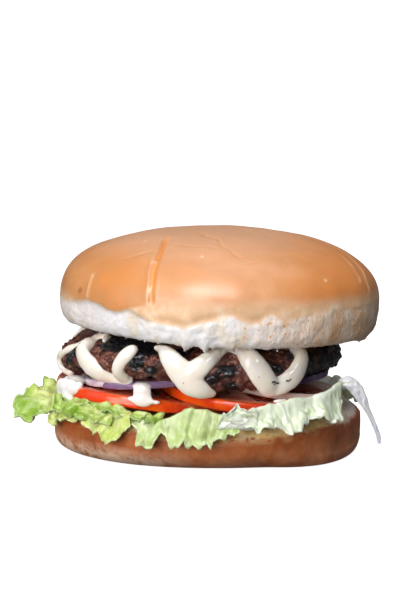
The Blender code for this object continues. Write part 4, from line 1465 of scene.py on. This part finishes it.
def back_leaf(sweep, draw):
    """A crest and hem for a leaf at the back, as jagged as those at the front."""
    first, last = sweep
    crest = [(first + (last - first) * k / 4, 57.5, draw.uniform(17.8, 20.6)) for k in range(5)]
    hem = []
    angle = first
    low = False
    while angle < last:
        heights = (10.5, 13.5) if low else (13.5, 17.5)
        hem.append((angle, draw.uniform(60.0, 61.5), draw.uniform(*heights)))
        angle += draw.uniform(1.2, 2.6)
        low = not low
    hem.append((last, 60.0, 17.0))
    return crest, hem


def along_hem(hem, angle):
    """Reach and height on the jagged hem, with straight runs between its teeth."""
    for start, end in zip(hem, hem[1:]):
        if angle <= end[0]:
            t = min(1.0, max(0.0, (angle - start[0]) / (end[0] - start[0])))
            return [a + (b - a) * t for a, b in zip(start[1:], end[1:])]
    return hem[-1][1:]


def whole_edge(crest, hem):
    """The smooth line that the leaf would reach if its hem weren't torn in."""
    first, last = hem[0][0], hem[-1][0]
    count = max(3, round((last - first) / 7.0))
    line = []
    for k in range(count + 1):
        angle = first + (last - first) * k / count
        middle = Vector(through(crest, angle))
        near = [Vector(spot[1:]) for spot in hem if abs(spot[0] - angle) <= 5.0]
        line.append((angle, *max(near, key=lambda spot: (spot - middle).length)))
    return line


def shape_leaf(piece, leaf, crest, hem):
    """Bends a flat grid over its knee and crest, tears its hem and lays it in soft, crinkled folds."""
    first, last = hem[0][0], hem[-1][0]
    root, knee = leaf.get("root", LEAF_ROOT), leaf.get("knee", LEAF_KNEE)
    seed, curl = leaf["seed"], leaf.get("curl", 0.35)
    exact = leaf.get("exact", False)
    edge = [] if exact else whole_edge(crest, hem)

    def edge_at(angle):
        return along_hem(hem, angle) if exact else through(edge, angle)

    def section(angle, share):
        crest_spot, edge_spot = through(crest, angle), edge_at(angle)
        calm = [0.6 * c + 0.4 * e for c, e in zip(crest_spot, edge_spot)]
        stations = [(0.0, *root), (0.34, *knee), (0.66, *crest_spot), (0.8, *calm), (1.0, *edge_spot)]
        return through(stations, share)

    def torn_at(angle, run):
        if exact:
            return 1.0
        top = Vector(through(crest, angle))
        whole = Vector(edge_at(angle)) - top
        left = (Vector(along_hem(hem, angle)) - top).dot(whole) / whole.length_squared
        left += 0.05 * ripple(run / 1.2, seed, 6.0) + 0.03 * ripple(run / 0.5, seed, 7.0)
        return 0.66 + 0.34 * min(1.06, max(0.2, left))

    tears = {}
    for vertex in piece.data.vertices:
        u, v = vertex.co.x + 0.5, vertex.co.y + 0.5
        angle = first + (last - first) * u
        run = math.radians(angle) * LEAF_ARC_RADIUS
        column = round(u * 10000)
        if column not in tears:
            tears[column] = torn_at(angle, run)
        share = v * tears[column]
        spot = section(angle, share)
        ahead, behind = section(angle, min(1.0, share + 0.03)), section(angle, max(0.0, share - 0.03))
        slope = Vector((ahead[0] - behind[0], ahead[1] - behind[1])).normalized()
        normal = Vector((-slope.y, slope.x))
        swell = 0.55 + 0.9 * abs(ripple(run / 11.0, seed, 2.0))
        depth = leaf["frill"] * swell * smooth_step(share, 0.25, 0.85)
        phase = 2.0 * math.pi * run / leaf["length"] + 7.0 * ripple(run / 14.0, share * 1.5, seed)
        phase += 0.9 * share
        fold = depth * (math.sin(phase) + 0.3 * math.sin(2.3 * phase + 1.0))
        crinkle = 1.3 * ripple(run / 4.8, share * 7.0, seed)
        crinkle += 0.8 * ripple(run / 2.3, share * 15.0, seed)
        crinkle *= leaf["rough"] * smooth_step(share, 0.2, 0.6)
        ruffle = ripple(run / 2.8, share * 12.0, seed + 4.0)
        ruffle += 0.5 * ripple(run / 1.4, share * 24.0, seed + 5.0)
        crinkle += leaf.get("ruffle", 1.3) * ruffle * smooth_step(v, 0.75, 1.0)
        sideways = -curl * depth * math.sin(2.0 * phase)
        lift = 0.35 * depth * math.cos(phase)
        reach = spot[0] + normal.x * (fold + crinkle)
        height = spot[1] + normal.y * (fold + crinkle) + lift * (1.0 - share)
        vertex.co = polar(reach, angle + math.degrees(sideways / LEAF_ARC_RADIUS), height) * MM
    piece.data.update()


def leaf_material(name, light, deep, vein_colour):
    """Crisp loose-leaf lettuce: thin, wet and half clear, deeper in its folds and paler along its ribs."""
    material = new_material(name)
    place = add_node(material, "TexCoord")["Object"]
    edge = add_node(material, "Attribute", attribute_name="frill")["Fac"]
    vein = add_node(material, "Attribute", attribute_name="vein")["Fac"]
    patch = add_node(
        material, "TexNoise", {"Vector": place, "Scale": per_metre(8.0), "Detail": 4.0, "Roughness": 0.6}
    )["Fac"]
    green = add_node(material, "Math", {0: edge, 1: 0.45, 2: patch}, operation="MULTIPLY_ADD")["Value"]
    green = add_node(
        material, "MapRange", {"Value": green, "From Min": 0.55, "From Max": 1.05},
        interpolation_type="SMOOTHSTEP",
    )["Result"]
    pale = add_node(material, "Math", {0: vein, 1: 0.3}, operation="MULTIPLY")["Value"]
    colour = light
    for share, tint in ((green, deep), (pale, vein_colour)):
        colour = add_node(
            material, "Mix", {SHARE: share, UNDER: colour, OVER: tint}, data_type="RGBA"
        )[MIXED]
    ridge = add_node(material, "Bump", {"Height": vein, "Strength": 0.6, "Distance": 0.35 * MM})["Normal"]
    blister = add_node(
        material, "TexNoise", {"Vector": place, "Scale": per_metre(1.8), "Detail": 3.0}
    )["Fac"]
    bump = add_node(
        material, "Bump", {"Height": blister, "Strength": 0.6, "Distance": 0.4 * MM, "Normal": ridge}
    )["Normal"]
    set_surface(
        material, Base_Color=colour, Roughness=0.3, Normal=bump, IOR=1.4,
        Subsurface_Weight=0.3, Subsurface_Radius=(0.8, 1.0, 0.4), Subsurface_Scale=0.9 * MM,
    )
    return material


def new_leaf(name, span, rows):
    """A flat grid that is fine enough for a leaf of a span in millimetres, and its grid places."""
    clear_selection()
    columns = max(12, round(span / 0.38))
    bpy.ops.mesh.primitive_grid_add(x_subdivisions=columns, y_subdivisions=rows, size=1.0)
    piece = finish_shape(name)
    return piece, [(vertex.co.x + 0.5, vertex.co.y + 0.5) for vertex in piece.data.vertices]


def draw_veins(piece, grid, span, seed):
    """Keeps the frill and the veins: ribs that fan out from the root, each with side veins."""
    ribs = max(2, round(span / 10.0))

    def vein_at(u, v):
        across = u * ribs + 0.7 * ripple(u * ribs, v * 4.0, seed) + 0.3 * math.sin(5.0 * v + seed)
        place = across - math.floor(across) - 0.5
        rib = abs(place) * span / ribs
        slant = v * 6.0 + 2.2 * abs(place) + 0.4 * ripple(u * 9.0, v * 4.0, seed)
        side = 0.55 * bell(abs(slant % 1.0 - 0.5) * 5.0, 0.3) * (1.0 - bell(abs(place) - 0.5, 0.12))
        return max(bell(rib, 0.3 + 0.6 * (1.0 - v)), side)

    frills = [smooth_step(v, 0.4, 1.0) for u, v in grid]
    veins = [max(vein_at(u, v), smooth_step(v, 0.95, 1.0)) for u, v in grid]
    for key, values in (("frill", frills), ("vein", veins)):
        attribute = piece.data.attributes.new(key, "FLOAT", "POINT")
        attribute.data.foreach_set("value", values)


def make_leaf(name, leaf, crest, hem, material, *nodes):
    span = math.radians(hem[-1][0] - hem[0][0]) * LEAF_ARC_RADIUS
    piece, grid = new_leaf(name, span, LEAF_ROWS)
    draw_veins(piece, grid, span, leaf["seed"])
    shape_leaf(piece, leaf, crest, hem)
    apply_modifier(piece, "SOLIDIFY", thickness=LEAF_THICKNESS * MM, offset=0.0)
    put_on(piece, material, "lettuce", *nodes)


def make_rib(material):
    """The bluish rib is a strip that folds over at its top, droops and narrows to a tail."""
    piece, grid = new_leaf("leaf_right_rib", 10.0, RIB_ROWS)
    draw_veins(piece, grid, 8.0, 5.0)
    outward = Vector((-0.1, -0.9, 0.42)).normalized()
    for vertex, (u, v) in zip(piece.data.vertices, grid):
        x, y, z, half_width = through(RIB, v)
        ahead = through(RIB, min(1.0, v + 0.02))
        behind = through(RIB, max(0.0, v - 0.02))
        run = (Vector(ahead[:3]) - Vector(behind[:3])).normalized()
        across = run.cross(outward).normalized()
        side = (2.0 * u - 1.0) * half_width * (1.0 + 0.12 * ripple(v * 14.0, 3.0 * u, 5.0))
        cup = 0.5 * half_width * (2.0 * u - 1.0) ** 2 * (1.0 - 0.5 * v)
        crinkle = 0.35 * ripple(u * 3.0, v * 16.0, 2.0)
        vertex.co = (Vector((x, y, z)) + across * side - outward * (cup - crinkle)) * MM
    piece.data.update()
    apply_modifier(piece, "SOLIDIFY", thickness=LEAF_THICKNESS * MM, offset=0.0)
    put_on(piece, material, "lettuce", "lettuce_right_rib")


def make_lettuce(salad):
    cream = hex_colour("#F2F6DC")
    looks = {
        "fresh": ("green_loose_leaf_lettuce", hex_colour("#D2E088"), salad.leaf_green, cream),
        "yellow": ("yellow_loose_leaf_lettuce", hex_colour("#E8EEA6"), hex_colour("#BED062"), cream),
        "lime": ("lime_loose_leaf_lettuce", hex_colour("#D6E2B2"), hex_colour("#B6CC80"), cream),
        "pale": ("pale_loose_leaf_lettuce", salad.leaf_pale, hex_colour("#E4F6D2"), hex_colour("#FAFDF6")),
        "rib": ("lettuce_rib", hex_colour("#F2F5FA"), hex_colour("#DCE4F2"), hex_colour("#FAFBFD")),
    }
    tones = {tone: leaf_material(*look) for tone, look in looks.items()}
    draw = random.Random(12)
    for node, leaf in LEAVES.items():
        crest, hem = (leaf["crest"], leaf["hem"]) if "hem" in leaf else back_leaf(leaf["sweep"], draw)
        make_leaf(node.replace("lettuce", "leaf"), leaf, crest, hem, tones[leaf["tone"]], node)
    for name, leaf in FRILLS.items():
        make_leaf(name, leaf, leaf["crest"], leaf["hem"], tones[leaf["tone"]])
    make_rib(tones["rib"])


# Crumbs

SMALL_CRUMBS = 70
# The larger crumbs that hang from the upper bun's torn edge: (x, y, z, size).
CRUMB_SPOTS = [
    (-7.6, -53.0, 44.4, 0.6), (-6.6, -53.4, 45.0, 0.5), (-0.8, -53.6, 44.2, 0.7), (0.4, -53.4, 43.7, 0.4),
    (9.2, -53.2, 44.2, 0.6), (10.4, -53.0, 43.8, 0.4), (54.2, -20.5, 42.1, 0.6), (24.0, -50.0, 43.6, 0.4),
]


def crumb_material():
    """Torn white bread crumb: matt and open."""
    material = new_material("white_bread_crumb")
    place = add_node(material, "TexCoord")["Object"]
    tone = add_node(material, "TexNoise", {"Vector": place, "Scale": per_metre(1.5), "Detail": 4.0})["Fac"]
    colour = add_node(
        material, "ValToRGB", {"Fac": tone},
        stops=[(0.35, hex_colour("#DCC3A4")), (0.6, hex_colour("#F6EFE6"))],
    )["Color"]
    set_surface(material, Base_Color=colour, Roughness=0.9)
    return material


def make_crumbs():
    """One crumb is shaped and copied: the named ones, and smaller ones drawn along the torn edge."""
    draw = random.Random(21)
    spots = list(CRUMB_SPOTS)
    for _ in range(SMALL_CRUMBS):
        angle = draw.uniform(0.0, 360.0)
        spot = polar(draw.uniform(51.2, 53.2), angle, 0.0, (CROWN_CENTRE_X, 0.0))
        height = CROWN_CUT_HEIGHT + CROWN_CUT_TILT * (spot.x - CROWN_CENTRE_X) - draw.uniform(-0.5, 0.1)
        spots.append((spot.x, spot.y, height, draw.uniform(0.2, 0.45)))

    def knobbly(crumb, mark):
        x, y, z, size = mark
        seed = draw.uniform(0.0, 50.0)
        for vertex in crumb.vertices:
            swell = 0.75 + 0.6 * noise.noise(vertex.co * 1.3 + Vector((seed, 0, 0)))
            vertex.co = (vertex.co * size * swell + Vector((x, y, z))) * MM

    clear_selection()
    bpy.ops.mesh.primitive_ico_sphere_add(subdivisions=2, radius=1.0)
    put_on(join_copies("bread_crumbs", spots, knobbly), crumb_material(), "bun_crust")


# Pepper

PEPPER_SUNK = 0.6
PEPPER_THICKNESS = 0.3
# Each flake: (angle, height, how far out of the patty's side, half width, half height).
PEPPER_SPOTS = [
    (298.4, 32.2, 2.7, 1.2, 0.5), (300.2, 31.6, 2.7, 0.9, 0.45), (299.0, 31.3, 2.7, 0.6, 0.3),
    (304.8, 32.0, 2.7, 1.2, 0.4), (306.0, 32.4, 2.7, 0.5, 0.3), (292.2, 34.4, 2.8, 0.2, 0.2),
    (264.0, 33.0, 3.1, 0.25, 0.2), (221.5, 37.0, 2.5, 0.2, 0.18), (277.0, 40.9, 2.1, 0.2, 0.18),
    (266.5, 30.6, 3.0, 0.22, 0.2),
]


def pepper_material():
    """Cracked black pepper, wet with sauce."""
    material = new_material("cracked_pepper")
    place = add_node(material, "TexCoord")["Object"]
    tone = add_node(material, "TexNoise", {"Vector": place, "Scale": per_metre(0.5)})["Fac"]
    colour = add_node(
        material, "ValToRGB", {"Fac": tone},
        stops=[(0.4, hex_colour("#1B1A14")), (0.62, hex_colour("#4A4630"))],
    )["Color"]
    set_surface(material, Base_Color=colour, Roughness=0.4)
    return material


def make_pepper():
    """Flat, cracked flakes that lie sunk a little into the sauce."""

    def cracked(flake, mark):
        angle, height, out, wide, high = mark
        for vertex in flake.vertices:
            vertex.co *= 0.8 + 0.5 * noise.noise(vertex.co * 1.7 + Vector((angle, 0, 0)))
        place = patty_spot(angle, height, out - PEPPER_SUNK)
        flake.transform(blob_matrix(place, polar(1.0, angle, 0.0), wide, high, PEPPER_THICKNESS))

    clear_selection()
    bpy.ops.mesh.primitive_ico_sphere_add(subdivisions=2, radius=1.0)
    put_on(join_copies("pepper_flakes", PEPPER_SPOTS, cracked), pepper_material(), "grilled_beef")


# Stage

def aim(thing, target):
    thing.rotation_euler = (Vector(target) - thing.location).to_track_quat("-Z", "Y").to_euler()


CAMERA_PLACE = (-0.0011, -0.7912, 0.1699)
CAMERA_TARGET = (-0.0011, 0.0, 0.0517)
CAMERA_LENS = 128.9
LAMP_TARGET = (0.0, 0.0, 0.045)
# These lamps only shine back from glossy skin, and don't light what is matt.
GLOSS_LAMPS = ("sheen_softbox", "right_glint", "left_glint")


def make_stage(stage):
    """A plain white floor, soft studio light from the front and the left, and the camera."""
    clear_selection()
    bpy.ops.mesh.primitive_circle_add(
        vertices=64, radius=30.0, fill_type="NGON", location=(0.0, 0.0, -0.0002)
    )
    floor = finish_shape("floor")
    material = new_material("white_paper_sweep")
    set_surface(
        material, Base_Color=(0.8, 0.8, 0.8, 1.0), Roughness=0.9,
        Emission_Color=(1.0, 1.0, 1.0, 1.0), Emission_Strength=stage.floor_glow,
    )
    floor.data.materials.append(material)
    floor.visible_diffuse = False
    floor.visible_glossy = False

    world = bpy.context.scene.world or bpy.data.worlds.new("studio")
    bpy.context.scene.world = world
    world.use_nodes = True
    background = world.node_tree.nodes["Background"]
    background.inputs["Color"].default_value = (0.93, 0.96, 1.0, 1.0)
    background.inputs["Strength"].default_value = stage.ambient

    lamps = (
        ("key_softbox", (-0.05, -0.56, 0.86), stage.key_power, (0.46, 0.30), (1.0, 0.98, 0.96)),
        ("sheen_softbox", (-0.08, -0.57, 0.87), stage.sheen_power, (0.60, 0.80), (0.92, 0.94, 1.0)),
        ("front_softbox", (-0.42, -0.88, 0.22), stage.front_power, (0.70, 0.40), (1.0, 0.97, 0.95)),
        ("left_softbox", (-0.75, -0.30, 0.38), stage.left_power, (0.5, 0.5), (0.90, 0.94, 1.0)),
        ("top_softbox", (0.05, 0.15, 0.85), stage.top_power, (0.6, 0.6), (0.98, 0.98, 1.0)),
        ("right_glint", (0.52, -0.62, 0.42), stage.glint_power, (0.14, 0.14), (0.70, 0.84, 1.0)),
        ("left_glint", (-0.30, -0.80, 0.50), 2.0 * stage.glint_power, (0.20, 0.20), (0.74, 0.85, 1.0)),
    )
    for name, place, power, size, colour in lamps:
        bpy.ops.object.light_add(type="AREA", location=place)
        lamp = bpy.context.object
        lamp.name = name
        lamp.data.shape = "RECTANGLE"
        lamp.data.size, lamp.data.size_y = size
        lamp.data.energy = power
        lamp.data.color = colour
        lamp.visible_diffuse = name not in GLOSS_LAMPS
        aim(lamp, LAMP_TARGET)

    bpy.ops.object.camera_add(location=CAMERA_PLACE)
    camera = bpy.context.object
    camera.name = "camera"
    camera.data.sensor_width = 36.0
    camera.data.lens = CAMERA_LENS
    aim(camera, CAMERA_TARGET)
    bpy.context.scene.camera = camera
    bpy.context.scene.view_settings.view_transform = "Standard"


# Settings that a user would change

def colour_setting(name, description, code):
    return bpy.props.FloatVectorProperty(
        name=name, description=description, subtype="COLOR", size=4, min=0.0, max=1.0,
        default=hex_colour(code),
    )


def power_setting(name, description, watts):
    return bpy.props.FloatProperty(name=name, description=description, unit="POWER", default=watts, min=0.0)


class BunSettings(bpy.types.PropertyGroup):
    crown_radius: bpy.props.FloatProperty(
        name="Upper bun radius", description="Half the upper bun's width", unit="LENGTH",
        default=58.2 * MM, min=0.02, max=0.2, precision=4,
    )
    crust: colour_setting("Crust", "Golden egg-washed crust", "#D38F54")
    crust_light: colour_setting("Light crust", "Palest blotches of the crust", "#DB9B63")
    crust_deep: colour_setting("Deep crust", "Darkest blotches of the crust", "#E48F46")
    crust_top: colour_setting("Top of the crust", "Duller, pinker crust on top", "#EAAE82")
    crust_edge: colour_setting("Crust edge", "Light tan where the crust ends", "#E9BE93")
    crumb: colour_setting("Side", "Pale torn side of the upper bun", "#FAF6F6")
    crust_roughness: bpy.props.FloatProperty(
        name="Crust roughness", description="How dull the egg wash is", subtype="FACTOR",
        default=0.4, min=0.0, max=1.0,
    )
    heel_crust: colour_setting("Lower crust", "Brown side of the lower bun", "#B66430")
    heel_light: colour_setting("Light lower crust", "Brighter patches of the lower bun", "#CB804E")
    heel_dark: colour_setting("Dark lower crust", "Darker patches of the lower bun", "#944A20")
    cut_face: colour_setting("Cut face", "Cream cut face of the lower bun", "#FFDA96")


class PattySettings(bpy.types.PropertyGroup):
    beef: colour_setting("Beef", "Browned minced beef", "#7E4436")
    beef_light: colour_setting("Light beef", "Paler grains", "#B07A64")
    beef_dark: colour_setting("Dark beef", "Darker grains", "#4C2722")
    # Also the colour of the painted shade in the gap under the upper bun.
    char: colour_setting("Char", "Black grilled crust", "#0C0A0E")


class SauceSettings(bpy.types.PropertyGroup):
    colour: colour_setting("Sauce", "Cream sauce", "#FFF7ED")
    shade: colour_setting("Sauce shade", "Yellower parts of the sauce", "#FBEFDF")
    thickness: bpy.props.FloatProperty(
        name="Thickness", description="How far the sauce stands out from the patty", unit="LENGTH",
        default=SAUCE_THICKNESS * MM, min=0.0005, max=0.005, precision=4,
    )


class SaladSettings(bpy.types.PropertyGroup):
    tomato: colour_setting("Tomato", "Ripe tomato skin", "#F85412")
    tomato_deep: colour_setting("Deep tomato", "Redder parts of the skin", "#E42E10")
    onion_skin: colour_setting("Onion skin", "Purple skin of each onion ring", "#9268A8")
    leaf_green: colour_setting("Leaf green", "Frill of the greenest leaves", "#86AC34")
    leaf_pale: colour_setting("Pale leaf", "Palest leaves at the right", "#F2FBE8")


class StageSettings(bpy.types.PropertyGroup):
    key_power: power_setting("Key light", "Power of the high softbox in front", 4.7)
    front_power: power_setting("Low front light", "Power of the low softbox in front", 6.9)
    left_power: power_setting("Left light", "Power of the left softbox", 1.0)
    top_power: power_setting("Top light", "Power of the softbox overhead", 2.6)
    sheen_power: power_setting("Sheen light", "Power of the softbox that only shines on glossy skin", 10.5)
    glint_power: power_setting("Glint light", "Power of each small lamp that sparkles on wet meat", 1.2)
    ambient: bpy.props.FloatProperty(
        name="Ambient", description="Strength of the room's light", default=0.12, min=0.0,
    )
    floor_glow: bpy.props.FloatProperty(
        name="Floor glow", description="Keeps the floor white away from the lights", default=0.93, min=0.0,
    )


# Operators

class HAMBURGER_OT_crown(bpy.types.Operator):
    """Bakes the upper bun"""
    bl_idname = "hamburger.crown"
    bl_label = "Upper bun"

    def execute(self, context):
        make_crown(context.scene.hamburger_bun)
        return {"FINISHED"}


class HAMBURGER_OT_heel(bpy.types.Operator):
    """Bakes the lower bun"""
    bl_idname = "hamburger.heel"
    bl_label = "Lower bun"

    def execute(self, context):
        make_heel(context.scene.hamburger_bun)
        return {"FINISHED"}


class HAMBURGER_OT_patty(bpy.types.Operator):
    """Grills the patty"""
    bl_idname = "hamburger.patty"
    bl_label = "Patty"

    def execute(self, context):
        make_patty(context.scene.hamburger_patty)
        return {"FINISHED"}


class HAMBURGER_OT_sauce(bpy.types.Operator):
    """Runs the sauce over the patty, and drops some on the tomato"""
    bl_idname = "hamburger.sauce"
    bl_label = "Sauce"

    def execute(self, context):
        make_sauce(context.scene.hamburger_sauce)
        make_pepper()
        return {"FINISHED"}


class HAMBURGER_OT_tomatoes(bpy.types.Operator):
    """Lays the tomato slices"""
    bl_idname = "hamburger.tomatoes"
    bl_label = "Tomato slices"

    def execute(self, context):
        for name in TOMATOES:
            make_tomato(name, context.scene.hamburger_salad)
        return {"FINISHED"}


class HAMBURGER_OT_onions(bpy.types.Operator):
    """Lays the onion slices"""
    bl_idname = "hamburger.onions"
    bl_label = "Onion slices"

    def execute(self, context):
        make_onions(context.scene.hamburger_salad)
        return {"FINISHED"}


class HAMBURGER_OT_lettuce(bpy.types.Operator):
    """Lays the lettuce leaves"""
    bl_idname = "hamburger.lettuce"
    bl_label = "Lettuce"

    def execute(self, context):
        make_lettuce(context.scene.hamburger_salad)
        return {"FINISHED"}


class HAMBURGER_OT_crumbs(bpy.types.Operator):
    """Leaves crumbs along the torn edge of the upper bun"""
    bl_idname = "hamburger.crumbs"
    bl_label = "Crumbs"

    def execute(self, context):
        make_crumbs()
        return {"FINISHED"}


class HAMBURGER_OT_stage(bpy.types.Operator):
    """Sets the floor, the lights and the camera"""
    bl_idname = "hamburger.stage"
    bl_label = "Stage"

    def execute(self, context):
        make_stage(context.scene.hamburger_stage)
        return {"FINISHED"}


OPERATORS = (
    HAMBURGER_OT_stage, HAMBURGER_OT_heel, HAMBURGER_OT_lettuce, HAMBURGER_OT_tomatoes, HAMBURGER_OT_onions,
    HAMBURGER_OT_patty, HAMBURGER_OT_sauce, HAMBURGER_OT_crown, HAMBURGER_OT_crumbs,
)
SETTINGS = {
    "hamburger_bun": BunSettings,
    "hamburger_patty": PattySettings,
    "hamburger_sauce": SauceSettings,
    "hamburger_salad": SaladSettings,
    "hamburger_stage": StageSettings,
}


class HAMBURGER_PT_layers(bpy.types.Panel):
    """Lists the burger's settings and layers"""
    bl_label = "Hamburger"
    bl_idname = "HAMBURGER_PT_layers"
    bl_space_type = "VIEW_3D"
    bl_region_type = "UI"
    bl_category = "Hamburger"

    def draw(self, context):
        for key, group in SETTINGS.items():
            box = self.layout.box()
            for name in group.__annotations__:
                box.prop(getattr(context.scene, key), name)
        for operator in OPERATORS:
            self.layout.operator(operator.bl_idname)


def register():
    for group in SETTINGS.values():
        bpy.utils.register_class(group)
    for key, group in SETTINGS.items():
        setattr(bpy.types.Scene, key, bpy.props.PointerProperty(type=group))
    for operator in OPERATORS:
        bpy.utils.register_class(operator)
    bpy.utils.register_class(HAMBURGER_PT_layers)


def unregister():
    bpy.utils.unregister_class(HAMBURGER_PT_layers)
    for operator in reversed(OPERATORS):
        bpy.utils.unregister_class(operator)
    for key in SETTINGS:
        delattr(bpy.types.Scene, key)
    for group in SETTINGS.values():
        bpy.utils.unregister_class(group)


def main():
    register()
    bpy.ops.hamburger.stage()
    bpy.ops.hamburger.heel()
    bpy.ops.hamburger.lettuce()
    bpy.ops.hamburger.tomatoes()
    bpy.ops.hamburger.onions()
    bpy.ops.hamburger.patty()
    bpy.ops.hamburger.sauce()
    bpy.ops.hamburger.crown()
    bpy.ops.hamburger.crumbs()


if __name__ == "__main__":
    main()
